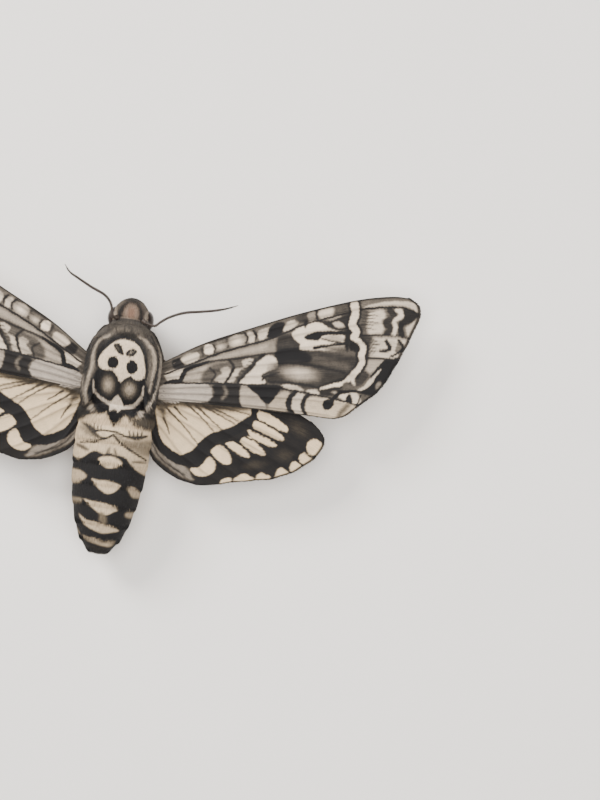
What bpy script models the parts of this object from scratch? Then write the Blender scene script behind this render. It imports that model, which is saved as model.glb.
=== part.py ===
"""A death's head hawkmoth at life size, standing on its six legs with its wings spread.

Units are metres with +Z up. The head points along +Y and the wings reach along X.
Sizes are written in millimetres times MM. Points of the moth are measured from the
middle of the thorax, on the floor, and one empty moves the whole moth so that the
middle of its bounding box is over the origin.
"""

import math

import bpy
from mathutils import Matrix, Vector

MM = 0.001
GAP = 0.3 * MM

# Thorax, an egg of dense pile
THORAX_HALF_WIDTH = 8.8 * MM
THORAX_HALF_LENGTH = 10.7 * MM
THORAX_HALF_HEIGHT = 7.5 * MM
THORAX_HEIGHT = 10.5 * MM
THORAX_FULLNESS = 0.95

# Collar, the raised pile over the neck
COLLAR_Y = 8.2 * MM
COLLAR_THICKNESS = 1.4 * MM
COLLAR_REACH = math.radians(75)

# Tegulae, the flaps that cover the wing roots
TEGULA_PLACE = (6.2, -1.2, 15.1)
TEGULA_RADII = (2.2, 7.6, 1.7)
TEGULA_TILT = math.radians(36)
TEGULA_TOE_IN = math.radians(7)

# Head
HEAD_PLACE = (0.0, 10.0, 9.8)
HEAD_RADII = (4.5, 5.3, 4.3)
EYE_PLACE = (3.35, 10.5, 9.3)
EYE_RADII = (1.6, 2.3, 2.1)
PALP_PLACE = (1.7, 12.2, 6.7)
PALP_RADII = (1.25, 2.6, 1.7)
PALP_TILT = math.radians(28)

# Proboscis, one coil under the head
PROBOSCIS_CENTRE = (0.0, 12.0, 4.9)
PROBOSCIS_COIL = 1.5 * MM
PROBOSCIS_RADIUS = 0.5 * MM
PROBOSCIS_TURN = math.radians(300)

# Abdomen: places along Y with the half width there, and its seven segments
ABDOMEN_FRONT = -6.0
ABDOMEN_END = -40.4
ABDOMEN_WIDTHS = (
    (-6.0, 6.8), (-10.0, 8.0), (-14.0, 8.4), (-18.0, 8.4), (-22.0, 8.2), (-26.5, 7.7),
    (-30.3, 6.95), (-34.0, 5.9), (-37.0, 4.6), (-39.2, 2.9),
)
ABDOMEN_FLATNESS = 0.86
ABDOMEN_FRONT_HEIGHT = 9.7
ABDOMEN_DROOP = 0.085
SEGMENT_EDGES = (-6.0, -11.5, -16.0, -20.6, -25.2, -29.6, -33.6, -37.0)
SEGMENT_STEP = 0.38

# Antennae follow these points, and each has its own bend
ANTENNA_RIGHT = ((2.7, 10.5, 12.6), (4.2, 9.9, 13.7), (5.5, 9.8, 14.1), (6.5, 10.7, 14.2),
                 (8.4, 12.1, 14.4), (11.3, 13.4, 14.5), (14.5, 14.1, 14.5), (17.2, 14.7, 14.4),
                 (19.8, 15.5, 14.2), (22.3, 16.6, 13.9))
ANTENNA_LEFT = ((-2.7, 10.5, 12.6), (-3.7, 10.4, 13.8), (-4.0, 11.8, 14.2), (-4.6, 13.4, 14.3),
                (-6.1, 14.8, 14.5), (-9.0, 16.0, 14.5), (-11.9, 17.4, 14.4), (-14.0, 18.5, 14.1),
                (-15.3, 20.0, 13.9))
ANTENNA_RADIUS = 0.46 * MM
ANTENNA_TIP = 0.22 * MM

# Legs of the right side: hip, knee, ankle and toe
LEG_POINTS = {
    "fore_leg": ((2.4, 4.6, 5.6), (4.4, 7.2, 4.4), (7.0, 3.4, 1.0), (10.8, 0.9, 0.35)),
    "mid_leg": ((2.6, 0.2, 5.2), (9.8, -0.6, 6.0), (14.2, -2.0, 0.95), (19.4, -2.6, 0.35)),
    "hind_leg": ((2.6, -3.8, 5.0), (11.4, -7.6, 5.4), (14.6, -13.2, 0.95), (17.2, -18.6, 0.35)),
}
FEMUR_RADII = (1.15, 1.3, 0.95)
TIBIA_RADII = (0.85, 0.95, 0.6)
TARSUS_RADIUS = 0.45
TOE_RADIUS = 0.4

# Wing sheets: the height where they leave the body and how they bow down to the tips
WING_ROOT_X = 8.0
WING_HEIGHT = 12.1
WING_RISE = 0.10
WING_BOW = 0.0031
FOREWING_CAMBER = 0.8
HINDWING_LOWER = 1.45
HINDWING_SLOPE = 0.05
HINDWING_BOW = 0.005
FOREWING_TRAILING_Y = -4.0

MEMBRANE_THICKNESS = 0.56
ROOT_THICKNESS = 1.05
EDGE_THICKNESS = 0.85
VEIN_HEIGHT = 0.24
VEIN_HALF_WIDTH = 0.38

FOREWING = {
    "leading": ((4.5, 0.4), (8.6, 2.7), (16.1, 7.6), (26.5, 12.7), (35.8, 17.0), (46.7, 21.3),
                (54.0, 23.2), (58.2, 23.5)),
    "outer": ((58.2, 23.5), (60.2, 22.5), (61.1, 20.6), (60.7, 18.4), (59.0, 13.0), (56.3, 6.3),
              (54.4, 2.8), (50.7, -0.9), (48.6, -3.0), (46.6, -4.0), (44.6, -4.25)),
    "trailing": ((4.5, -6.0), (16.1, -5.2), (29.4, -4.5), (38.0, -4.3), (44.6, -4.25)),
    "veins": (0.075, 0.19, 0.32, 0.44, 0.56, 0.68, 0.80, 0.92),
    "scallop": 0.12,
    "stations": 20,
}
HINDWING = {
    "leading": ((4.5, -3.4), (14.0, -1.5), (24.0, -1.2), (32.0, -2.4), (38.0, -4.2), (41.4, -5.7)),
    "outer": ((41.4, -5.7), (43.6, -7.4), (44.7, -9.4), (44.3, -11.6), (41.6, -14.9), (38.6, -17.1),
              (35.3, -18.7), (31.5, -19.7), (27.9, -20.5), (24.4, -21.4), (20.6, -22.35),
              (17.2, -22.2), (14.6, -21.6)),
    "trailing": ((4.5, -9.0), (6.8, -13.0), (8.3, -17.6), (11.3, -20.1), (14.6, -21.6)),
    "veins": (0.11, 0.24, 0.37, 0.50, 0.63, 0.76, 0.89),
    "scallop": 0.25,
    "stations": 14,
}

BODY_SIDES = 28
LEG_SIDES = 8
ANTENNA_SIDES = 8

# Finishes: colour, roughness
FINISHES = {
    "thorax_pile": ((0.055, 0.045, 0.04), 0.85),
    "head_pile": ((0.14, 0.10, 0.08), 0.85),
    "abdomen_pile": ((0.42, 0.31, 0.18), 0.8),
    "forewing_scales": ((0.11, 0.09, 0.08), 0.7),
    "hindwing_scales": ((0.55, 0.42, 0.25), 0.7),
    "eye_facets": ((0.02, 0.014, 0.012), 0.15),
    "antenna_shaft": ((0.05, 0.035, 0.03), 0.6),
    "leg_scales": ((0.07, 0.055, 0.05), 0.75),
    "proboscis_skin": ((0.09, 0.045, 0.025), 0.4),
}


def clear_scene():
    """Takes the startup objects out of the file."""
    for obj in list(bpy.data.objects):
        bpy.data.objects.remove(obj, do_unlink=True)


def finish(name):
    """The Principled material of that name, made once."""
    if name in bpy.data.materials:
        return bpy.data.materials[name]
    colour, roughness = FINISHES[name]
    made = bpy.data.materials.new(name)
    made.use_nodes = True
    shader = made.node_tree.nodes["Principled BSDF"]
    shader.inputs["Base Color"].default_value = (*colour, 1.0)
    shader.inputs["Roughness"].default_value = roughness
    return made


def mm(point):
    """A point given in millimetres, as a vector in metres."""
    return Vector(point) * MM


def mesh_object(name, points, faces, material_name):
    """A linked, smooth-shaded object with that mesh."""
    mesh = bpy.data.meshes.new(name)
    mesh.from_pydata([tuple(p) for p in points], [], faces)
    mesh.validate()
    mesh.shade_smooth()
    obj = bpy.data.objects.new(name, mesh)
    bpy.context.scene.collection.objects.link(obj)
    mesh.materials.append(finish(material_name))
    return obj


def smooth_path(points, count):
    """count + 1 points spaced evenly along a Catmull-Rom curve through the given points."""
    knots = [Vector(p) for p in points]
    knots = [2 * knots[0] - knots[1], *knots, 2 * knots[-1] - knots[-2]]
    steps = 24
    dense = []
    for a, b, c, d in zip(knots, knots[1:], knots[2:], knots[3:]):
        for step in range(steps):
            t = step / steps
            dense.append(0.5 * (2 * b + (c - a) * t + (2 * a - 5 * b + 4 * c - d) * t * t
                                + (3 * b - a - 3 * c + d) * t ** 3))
    dense.append(knots[-2])
    lengths = [0.0]
    for a, b in zip(dense, dense[1:]):
        lengths.append(lengths[-1] + (b - a).length)
    path, k = [], 0
    for step in range(count + 1):
        wanted = lengths[-1] * step / count
        while k < len(dense) - 2 and lengths[k + 1] < wanted:
            k += 1
        share = (wanted - lengths[k]) / max(lengths[k + 1] - lengths[k], 1e-12)
        path.append(dense[k].lerp(dense[k + 1], min(max(share, 0.0), 1.0)))
    return path


def between(table, at):
    """Linear reading of a table of (place, value) rows whose places run one way."""
    rising = table if table[0][0] < table[-1][0] else tuple(reversed(table))
    if at <= rising[0][0]:
        return rising[0][1]
    for (a, low), (b, high) in zip(rising, rising[1:]):
        if at <= b:
            return low + (high - low) * (at - a) / (b - a)
    return rising[-1][1]


def skin_rings(name, rings, material_name, first=None, last=None):
    """A closed body through rings of points. first and last are end points, or None for a flat cap."""
    sides = len(rings[0])
    points = [p for ring in rings for p in ring]
    faces = []
    for i in range(len(rings) - 1):
        for j in range(sides):
            k = (j + 1) % sides
            faces.append((i * sides + j, i * sides + k, (i + 1) * sides + k, (i + 1) * sides + j))
    ends = ((first, 0, False), (last, (len(rings) - 1) * sides, True))
    for tip, start, forward in ends:
        if tip is None:
            tip = sum((points[start + j] for j in range(sides)), Vector()) / sides
        points.append(Vector(tip))
        for j in range(sides):
            a, b = start + j, start + (j + 1) % sides
            faces.append((a, b, len(points) - 1) if forward else (b, a, len(points) - 1))
    return mesh_object(name, points, faces, material_name)


def egg(name, place, radii, material_name, fullness=1.0, rings=14, sides=BODY_SIDES, turn=None):
    """An ellipsoid along Y, fuller at its ends where fullness is under 1, turned about its centre."""
    centre, (wide, long, high) = mm(place), (r * MM for r in radii)
    turn = turn or Matrix.Identity(3)
    loops = []
    for i in range(1, rings):
        angle = math.pi * i / rings
        size = math.sin(angle) ** fullness
        loops.append([
            centre + turn @ Vector((wide * size * math.cos(around), -long * math.cos(angle),
                                    high * size * math.sin(around)))
            for around in (math.tau * (j + 0.5) / sides for j in range(sides))
        ])
    ends = [centre + turn @ Vector((0.0, way * long, 0.0)) for way in (-1, 1)]
    obj = skin_rings(name, loops, material_name, *ends)
    face_out(obj)
    return obj


def tube(name, path, radii, material_name, sides):
    """A tube through the path, with a radius at each of its points and rounded ends."""
    rings = []
    side = None
    for i, point in enumerate(path):
        ahead = path[min(i + 1, len(path) - 1)] - path[max(i - 1, 0)]
        ahead.normalize()
        if side is None:
            side = ahead.cross(Vector((0.0, 0.3, 1.0))).normalized()
        side = (side - side.dot(ahead) * ahead).normalized()
        up = side.cross(ahead)
        rings.append([
            point + radii[i] * (math.cos(around) * side + math.sin(around) * up)
            for around in (math.tau * (j + 0.5) / sides for j in range(sides))
        ])
    start = path[0] - (path[1] - path[0]).normalized() * radii[0] * 0.6
    end = path[-1] + (path[-1] - path[-2]).normalized() * radii[-1] * 0.6
    obj = skin_rings(name, rings, material_name, start, end)
    face_out(obj)
    return obj


def face_out(obj):
    """Turns the mesh over where its volume is negative, so that its faces point outwards."""
    mesh = obj.data
    mesh.calc_loop_triangles()
    volume = 0.0
    for triangle in mesh.loop_triangles:
        a, b, c = (mesh.vertices[i].co for i in triangle.vertices)
        volume += a.dot(b.cross(c))
    if volume < 0:
        mesh.flip_normals()
    mesh.update()


def swollen(obj, by):
    """A hidden copy of obj whose surface stands out by that distance, to cut a neighbour clear."""
    copy = bpy.data.objects.new(obj.name + "_clearance", obj.data.copy())
    bpy.context.scene.collection.objects.link(copy)
    copy.matrix_world = obj.matrix_world.copy()
    copy.hide_render = True
    copy.display_type = "WIRE"
    moved = [v.co + v.normal * by for v in copy.data.vertices]
    for vertex, place in zip(copy.data.vertices, moved):
        vertex.co = place
    copy.data.update()
    return copy


def apply_boolean(obj, operation, others):
    """Applies one Boolean on obj with a collection of closed objects, which are then removed."""
    group = bpy.data.collections.new("boolean_pieces")
    bpy.context.scene.collection.children.link(group)
    for other in others:
        for home in list(other.users_collection):
            home.objects.unlink(other)
        group.objects.link(other)
    modifier = obj.modifiers.new("boolean", "BOOLEAN")
    modifier.operation = operation
    modifier.operand_type = "COLLECTION"
    modifier.collection = group
    modifier.solver = "EXACT"
    bpy.context.view_layer.update()
    graph = bpy.context.evaluated_depsgraph_get()
    result = bpy.data.meshes.new_from_object(obj.evaluated_get(graph))
    obj.modifiers.remove(modifier)
    old, obj.data = obj.data, result
    result.name = obj.name
    bpy.data.meshes.remove(old)
    for other in others:
        bpy.data.objects.remove(other, do_unlink=True)
    bpy.data.collections.remove(group)
    keep_largest_surface(obj)


def keep_largest_surface(obj):
    """Drops every closed surface of the mesh but the one with the most volume."""
    mesh = obj.data
    parent = list(range(len(mesh.vertices)))

    def root(i):
        while parent[i] != i:
            parent[i] = parent[parent[i]]
            i = parent[i]
        return i

    for edge in mesh.edges:
        a, b = (root(i) for i in edge.vertices)
        parent[a] = b
    mesh.calc_loop_triangles()
    volumes = {}
    for triangle in mesh.loop_triangles:
        a, b, c = (mesh.vertices[i].co for i in triangle.vertices)
        home = root(triangle.vertices[0])
        volumes[home] = volumes.get(home, 0.0) + a.dot(b.cross(c))
    if len(volumes) < 2:
        return
    best = max(volumes, key=volumes.get)
    kept = [i for i in range(len(mesh.vertices)) if root(i) == best]
    place = {old: new for new, old in enumerate(kept)}
    faces = [tuple(place[i] for i in p.vertices) for p in mesh.polygons if p.vertices[0] in place]
    points = [mesh.vertices[i].co.copy() for i in kept]
    slots = list(mesh.materials)
    mesh.clear_geometry()
    mesh.from_pydata(points, [], faces)
    mesh.materials.clear()
    for slot in slots:
        mesh.materials.append(slot)
    mesh.shade_smooth()


def cut_clear(obj, neighbours, by=GAP):
    """Cuts obj back so that it stands clear of each neighbour by the gap."""
    apply_boolean(obj, "DIFFERENCE", [swollen(n, by) for n in neighbours])


def make_thorax():
    """The egg-shaped thorax."""
    radii = [r / MM for r in (THORAX_HALF_WIDTH, THORAX_HALF_LENGTH, THORAX_HALF_HEIGHT)]
    place = (0.0, 0.0, THORAX_HEIGHT / MM)
    return egg("thorax", place, radii, "thorax_pile", THORAX_FULLNESS, rings=16)


def make_collar(thorax):
    """A crescent of raised pile that arches over the front of the thorax."""
    share = math.sqrt(1.0 - (COLLAR_Y / THORAX_HALF_LENGTH) ** 2) ** THORAX_FULLNESS
    path = []
    count = 18
    for step in range(count + 1):
        angle = COLLAR_REACH * (2 * step / count - 1)
        path.append(Vector((
            THORAX_HALF_WIDTH * share * math.sin(angle),
            COLLAR_Y,
            THORAX_HEIGHT + THORAX_HALF_HEIGHT * share * math.cos(angle),
        )))
    radii = [COLLAR_THICKNESS * (0.55 + 0.45 * math.sin(math.pi * i / count)) for i in range(count + 1)]
    collar = tube("collar", path, radii, "thorax_pile", 12)
    cut_clear(collar, [thorax])
    return collar


def make_tegula(side, way, thorax, collar):
    """The flap over the wing root of one side."""
    turn = Matrix.Rotation(way * TEGULA_TILT, 3, "Y") @ Matrix.Rotation(way * TEGULA_TOE_IN, 3, "Z")
    x, y, z = TEGULA_PLACE
    tegula = egg("tegula_" + side, (way * x, y, z), TEGULA_RADII, "thorax_pile", 0.9, 14, 16, turn)
    cut_clear(tegula, [thorax, collar])
    return tegula


def make_head(thorax, collar, eyes):
    """The head, cut clear of the thorax and hollowed for the eyes."""
    head = egg("head", HEAD_PLACE, HEAD_RADII, "head_pile", 0.95, 14)
    cut_clear(head, [thorax, collar, *eyes])
    return head


def make_eye(side, way, thorax, collar):
    """One compound eye, whose back stays clear of the pile behind it."""
    x, y, z = EYE_PLACE
    eye = egg("eye_" + side, (way * x, y, z), EYE_RADII, "eye_facets", 1.0, 12, 16)
    cut_clear(eye, [thorax, collar])
    return eye


def make_palp(side, way, head):
    """One labial palp, a furry lobe under the front of the head."""
    x, y, z = PALP_PLACE
    turn = Matrix.Rotation(PALP_TILT, 3, "X")
    palp = egg("palp_" + side, (way * x, y, z), PALP_RADII, "head_pile", 0.9, 10, 14, turn)
    cut_clear(palp, [head])
    return palp


def make_proboscis(head, palps):
    """The coiled tongue, which starts in the head and stays inside one turn."""
    centre = mm(PROBOSCIS_CENTRE)
    count = 20
    path, radii = [], []
    for step in range(count + 1):
        share = step / count
        angle = math.radians(100) - PROBOSCIS_TURN * share
        reach = PROBOSCIS_COIL * (1.0 - 0.3 * share)
        path.append(centre + Vector((0.0, reach * math.cos(angle), reach * math.sin(angle))))
        radii.append(PROBOSCIS_RADIUS * (1.0 - 0.5 * share))
    path.insert(0, path[0] + mm((0.0, -0.4, 1.2)))
    radii.insert(0, radii[0])
    proboscis = tube("proboscis", path, radii, "proboscis_skin", 8)
    cut_clear(proboscis, [head, *palps])
    return proboscis


def make_antenna(side, points, head):
    """One feeler, thickest in its middle and drawn out to a fine tip."""
    count = 26
    path = smooth_path([mm(p) for p in points], count)
    radii = []
    for step in range(count + 1):
        share = step / count
        thick = ANTENNA_RADIUS * (0.85 + 0.15 * math.sin(math.pi * share))
        fade = max(0.0, (share - 0.72) / 0.28)
        radii.append(thick + (ANTENNA_TIP - thick) * fade)
    antenna = tube("antenna_" + side, path, radii, "antenna_shaft", ANTENNA_SIDES)
    cut_clear(antenna, [head])
    return antenna


def abdomen_ring(y, swell, sides):
    """The ring of points of the abdomen at y, in millimetres, swollen by that much."""
    half_width = between(ABDOMEN_WIDTHS, y) + swell
    half_height = half_width * ABDOMEN_FLATNESS
    height = ABDOMEN_FRONT_HEIGHT + ABDOMEN_DROOP * (y - ABDOMEN_FRONT)
    return [
        mm((half_width * math.cos(around), y, height + half_height * math.sin(around)))
        for around in (math.tau * (j + 0.5) / sides for j in range(sides))
    ]


def make_abdomen(thorax):
    """The abdomen, whose segments each end in a raised fringe."""
    rings = []
    for front, back in zip(SEGMENT_EDGES, SEGMENT_EDGES[1:]):
        length = back - front
        rings.append(abdomen_ring(front + 0.04 * length, -SEGMENT_STEP, BODY_SIDES))
        rings.append(abdomen_ring(front + 0.45 * length, -0.3 * SEGMENT_STEP, BODY_SIDES))
        rings.append(abdomen_ring(front + 0.94 * length, 0.0, BODY_SIDES))
    rings.append(abdomen_ring(SEGMENT_EDGES[-1] - 0.3, -SEGMENT_STEP, BODY_SIDES))
    rings.append(abdomen_ring(-38.6, -0.2 * SEGMENT_STEP, BODY_SIDES))
    rings.append(abdomen_ring(-39.7, -0.8, BODY_SIDES))
    height = ABDOMEN_FRONT_HEIGHT + ABDOMEN_DROOP * (ABDOMEN_END - ABDOMEN_FRONT)
    abdomen = skin_rings("abdomen", rings, "abdomen_pile", None, mm((0.0, ABDOMEN_END, height)))
    face_out(abdomen)
    cut_clear(abdomen, [thorax])
    return abdomen


def make_leg(name, way, points, thorax):
    """One leg: femur, tibia and a tarsus that lies flat on the floor."""
    hip, knee, ankle, toe = (mm((way * x, y, z)) for x, y, z in points)
    thigh_mid = hip.lerp(knee, 0.5)
    femur = tube(name, [hip, thigh_mid, knee], [r * MM for r in FEMUR_RADII], "leg_scales", LEG_SIDES)
    past_knee = knee + (knee - ankle).normalized() * 0.3 * MM
    shin_mid = knee.lerp(ankle, 0.45)
    on_floor = ankle.lerp(toe, 0.12)
    on_floor.z = TOE_RADIUS * MM * 0.9
    shank_radii = [r * MM for r in (*TIBIA_RADII, TARSUS_RADIUS, TOE_RADIUS)]
    shank = tube("shank", [past_knee, shin_mid, ankle, on_floor, toe], shank_radii, "leg_scales", LEG_SIDES)
    for vertex in shank.data.vertices:
        vertex.co.z = max(vertex.co.z, 0.0)
    apply_boolean(femur, "UNION", [shank])
    cut_clear(femur, [thorax])
    return femur


def sheet_height(x, y, share, across, hind):
    """The height of the middle of a wing sheet, in millimetres."""
    out = x - WING_ROOT_X
    height = WING_HEIGHT + WING_RISE * out - WING_BOW * out * out
    if not hind:
        return height + FOREWING_CAMBER * math.sin(math.pi * across) * min(1.0, 2.0 * share)
    behind = max(0.0, FOREWING_TRAILING_Y - y)
    return height - HINDWING_LOWER - HINDWING_SLOPE * behind - HINDWING_BOW * behind * behind


def wing_lines(veins, chord):
    """Places across the wing, each with its share of a vein's height: three to a vein and one between."""
    edges = (0.0, *veins, 1.0)
    lines = [(0.0, 0.0)]
    for before, vein, after in zip(edges, veins, edges[2:]):
        half = min(VEIN_HALF_WIDTH / chord, 0.3 * (vein - before), 0.3 * (after - vein))
        lines.append(((before + vein) / 2, 0.0))
        lines.extend(((vein - half, 0.0), (vein, 1.0), (vein + half, 0.0)))
    lines.append(((veins[-1] + 1.0) / 2, 0.0))
    lines.append((1.0, 0.0))
    return lines


def scallop_depth(across, veins, deepest):
    """How far the outer edge is drawn in, deepest midway between two veins."""
    edges = (0.0, *veins, 1.0)
    for before, after in zip(edges, edges[1:]):
        if before <= across <= after:
            return deepest * math.sin(math.pi * (across - before) / (after - before))
    return 0.0


def make_wing(name, shape, way, hind, material_name):
    """One wing as a closed sheet whose main veins stand up in its own upper surface."""
    count = shape["stations"]
    fine = 200
    leading = smooth_path([Vector((*p, 0.0)) for p in shape["leading"]], count)
    trailing = smooth_path([Vector((*p, 0.0)) for p in shape["trailing"]], count)
    outer = smooth_path([Vector((*p, 0.0)) for p in shape["outer"]], fine)
    root = [leading[0].lerp(trailing[0], i / fine) for i in range(fine + 1)]
    inward = (leading[0].lerp(trailing[0], 0.5) - outer[fine // 2]).normalized()
    top, bottom = [], []
    for i in range(count + 1):
        share = i / count
        chord = (leading[i] - trailing[i]).length
        for across, ridge in wing_lines(shape["veins"], chord):
            k = round(across * fine)
            tip = outer[k] + inward * scallop_depth(across, shape["veins"], shape["scallop"])
            corners = (
                (1 - share) * ((1 - across) * leading[0] + across * trailing[0])
                + share * ((1 - across) * leading[-1] + across * trailing[-1])
            )
            place = (
                (1 - across) * leading[i] + across * trailing[i]
                + (1 - share) * root[k] + share * tip - corners
            )
            middle = sheet_height(place.x, place.y, share, across, hind)
            thick = MEMBRANE_THICKNESS + (ROOT_THICKNESS - MEMBRANE_THICKNESS) * (1 - share) ** 3
            if across == 0.0:
                thick = max(thick, EDGE_THICKNESS * (1 - share) + MEMBRANE_THICKNESS * share)
            lift = VEIN_HEIGHT * ridge * min(1.0, 4 * (1 - share))
            top.append(mm((way * place.x, place.y, middle + thick / 2 + lift)))
            bottom.append(mm((way * place.x, place.y, middle - thick / 2)))
    across_count = len(top) // (count + 1)
    faces = sheet_faces(count + 1, across_count)
    obj = mesh_object(name, top + bottom, faces, material_name)
    face_out(obj)
    return obj


def sheet_faces(rows, columns):
    """Triangles of a closed sheet: the upper grid, the lower one split alike, and the rim between."""
    below = rows * columns
    faces = []
    for i in range(rows - 1):
        for j in range(columns - 1):
            a, b = i * columns + j, i * columns + j + 1
            c, d = b + columns, a + columns
            for one, two, three in ((a, b, c), (a, c, d)):
                faces.append((one, two, three))
                faces.append((three + below, two + below, one + below))
    rim = [j for j in range(columns)]
    rim += [i * columns + columns - 1 for i in range(1, rows)]
    rim += [(rows - 1) * columns + j for j in range(columns - 2, -1, -1)]
    rim += [i * columns for i in range(rows - 2, 0, -1)]
    for a, b in zip(rim, rim[1:] + rim[:1]):
        faces.append((b, a, a + below))
        faces.append((b, a + below, b + below))
    return faces


def centre_on_origin(objects):
    """Parents the nodes to one empty that moves the middle of their box over the origin."""
    bpy.context.view_layer.update()
    corners = [obj.matrix_world @ v.co for obj in objects for v in obj.data.vertices]
    low = Vector([min(c[k] for c in corners) for k in range(3)])
    high = Vector([max(c[k] for c in corners) for k in range(3)])
    stance = bpy.data.objects.new("moth_stance", None)
    bpy.context.scene.collection.objects.link(stance)
    for obj in objects:
        obj.parent = stance
    stance.location = (-(low.x + high.x) / 2, -(low.y + high.y) / 2, -low.z)


def main():
    """Builds every node of the moth."""
    clear_scene()
    thorax = make_thorax()
    collar = make_collar(thorax)
    sides = (("left", -1), ("right", 1))
    tegulae = [make_tegula(side, way, thorax, collar) for side, way in sides]
    eyes = [make_eye(side, way, thorax, collar) for side, way in sides]
    head = make_head(thorax, collar, eyes)
    palps = [make_palp(side, way, head) for side, way in sides]
    proboscis = make_proboscis(head, palps)
    antennae = [
        make_antenna("left", ANTENNA_LEFT, head),
        make_antenna("right", ANTENNA_RIGHT, head),
    ]
    abdomen = make_abdomen(thorax)
    nodes = [thorax, collar, *tegulae, *eyes, head, *palps, proboscis, *antennae, abdomen]
    for side, way in sides:
        forewing = make_wing("forewing_" + side, FOREWING, way, False, "forewing_scales")
        hindwing = make_wing("hindwing_" + side, HINDWING, way, True, "hindwing_scales")
        cut_clear(forewing, [thorax, collar, *tegulae])
        cut_clear(hindwing, [thorax, *tegulae, abdomen])
        nodes += [forewing, hindwing]
        for name, points in LEG_POINTS.items():
            nodes.append(make_leg(f"{name}_{side}", way, points, thorax))
    centre_on_origin(nodes)


main()
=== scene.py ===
"""A death's head hawkmoth at life size, standing on six legs with its wings spread.

Shapes are worked out in millimetres in the moth's own frame: +Y is the way the head points, +X the
side of its right wings, +Z up, with the origin on the floor under the middle of the thorax. Every
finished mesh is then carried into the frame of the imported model, in metres.
"""

import logging
import math
from dataclasses import KW_ONLY, dataclass
from enum import Enum
from typing import Callable, Iterable, Sequence

import bpy
import numpy as np
from mathutils import Matrix, Vector


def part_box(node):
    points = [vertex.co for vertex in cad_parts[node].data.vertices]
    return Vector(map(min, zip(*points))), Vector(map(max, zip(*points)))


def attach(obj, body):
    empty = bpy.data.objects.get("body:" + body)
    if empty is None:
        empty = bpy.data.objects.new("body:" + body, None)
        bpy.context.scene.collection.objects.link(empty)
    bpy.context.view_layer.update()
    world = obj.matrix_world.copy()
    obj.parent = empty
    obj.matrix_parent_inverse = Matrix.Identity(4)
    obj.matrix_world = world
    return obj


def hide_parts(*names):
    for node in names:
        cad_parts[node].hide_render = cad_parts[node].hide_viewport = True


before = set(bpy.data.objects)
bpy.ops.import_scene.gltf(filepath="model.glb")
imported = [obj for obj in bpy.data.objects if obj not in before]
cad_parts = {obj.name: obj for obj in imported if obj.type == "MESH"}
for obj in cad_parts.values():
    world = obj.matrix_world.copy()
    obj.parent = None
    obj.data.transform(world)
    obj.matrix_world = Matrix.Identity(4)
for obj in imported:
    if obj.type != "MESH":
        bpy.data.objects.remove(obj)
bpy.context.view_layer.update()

LOG = logging.getLogger("hawkmoth")
Point = tuple[float, ...]
Colour = tuple[float, float, float]

MM = 0.001
ABDOMEN_END = -40.4
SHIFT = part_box("abdomen")[0].y / MM - ABDOMEN_END
PATCH = 0.003
UP = np.array((0.0, 0.0, 1.0))
HALVES = (0.0, 0.5, 1.0)


class Side(Enum):
    """The moth's two sides, each with its way along X."""

    LEFT = -1
    RIGHT = 1

    @property
    def word(self) -> str:
        """The side as a piece's name has it."""
        return self.name.lower()


def srgb(red: int, green: int, blue: int) -> Colour:
    """A colour given as it looks on a screen, as the linear one that a shader takes.

    Args:
        red, green, blue: from 0 to 255.

    Returns:
        The linear colour.
    """
    parts = (value / 255 for value in (red, green, blue))
    return tuple(p / 12.92 if p <= 0.04045 else ((p + 0.055) / 1.055) ** 2.4 for p in parts)


def smooth_step(low: float, high: float, value: np.ndarray) -> np.ndarray:
    """0 below low, 1 above high and an even rise between them."""
    share = np.clip((value - low) / (high - low), 0.0, 1.0)
    return share * share * (3.0 - 2.0 * share)


def unit(vectors: np.ndarray) -> np.ndarray:
    """The vectors, each made one long."""
    return vectors / np.maximum(np.linalg.norm(vectors, axis=-1, keepdims=True), 1e-9)


def places(trace: str) -> np.ndarray:
    """The rows of numbers that a trace such as "1,2 3,4" spells out."""
    return np.array([row.split(",") for row in trace.split()], float)


def smooth_path(points: np.ndarray | Sequence[np.ndarray], count: int, closed: bool = False) -> np.ndarray:
    """Points spaced evenly along a Catmull-Rom curve.

    Args:
        points: the knots that the curve runs through.
        count: how many equal steps to divide it into.
        closed: whether it returns to its first knot.

    Returns:
        count + 1 points, or count of them where the curve is closed.
    """
    knots = np.array(points, float)
    if closed:
        knots = np.vstack([knots[-1:], knots, knots[:2]])
    else:
        knots = np.vstack([2 * knots[0] - knots[1], knots, 2 * knots[-1] - knots[-2]])
    t = np.linspace(0.0, 1.0, 24, endpoint=False)[None, :, None]
    a, b, c, d = (knots[i : len(knots) - 3 + i, None, :] for i in range(4))
    dense = 0.5 * (2 * b + (c - a) * t + (2 * a - 5 * b + 4 * c - d) * t**2
                   + (3 * b - a - 3 * c + d) * t**3)
    dense = np.vstack([dense.reshape(-1, knots.shape[1]), knots[-2]])
    lengths = np.concatenate([[0.0], np.cumsum(np.linalg.norm(np.diff(dense, axis=0), axis=1))])
    wanted = np.linspace(0.0, lengths[-1], count + 1)
    path = np.stack([np.interp(wanted, lengths, dense[:, k]) for k in range(dense.shape[1])], 1)
    return path[:-1] if closed else path


def distance_to_line(at: np.ndarray, line: np.ndarray) -> tuple[np.ndarray, np.ndarray]:
    """How far each place is from a line of points, and how far along the line it lies.

    Args:
        at: places, in rows of X and Y.
        line: the line's points.

    Returns:
        The distances, and the shares of the line from 0 to 1.
    """
    best = np.full(len(at), 1e9)
    along = np.zeros(len(at))
    steps = len(line) - 1
    for k in range(steps):
        edge = line[k + 1] - line[k]
        share = np.clip((at - line[k]) @ edge / max(edge @ edge, 1e-12), 0.0, 1.0)
        far = np.linalg.norm(at - line[k] - share[:, None] * edge, axis=1)
        nearer = far < best
        best[nearer] = far[nearer]
        along[nearer] = (k + share[nearer]) / steps
    return best, along


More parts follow.
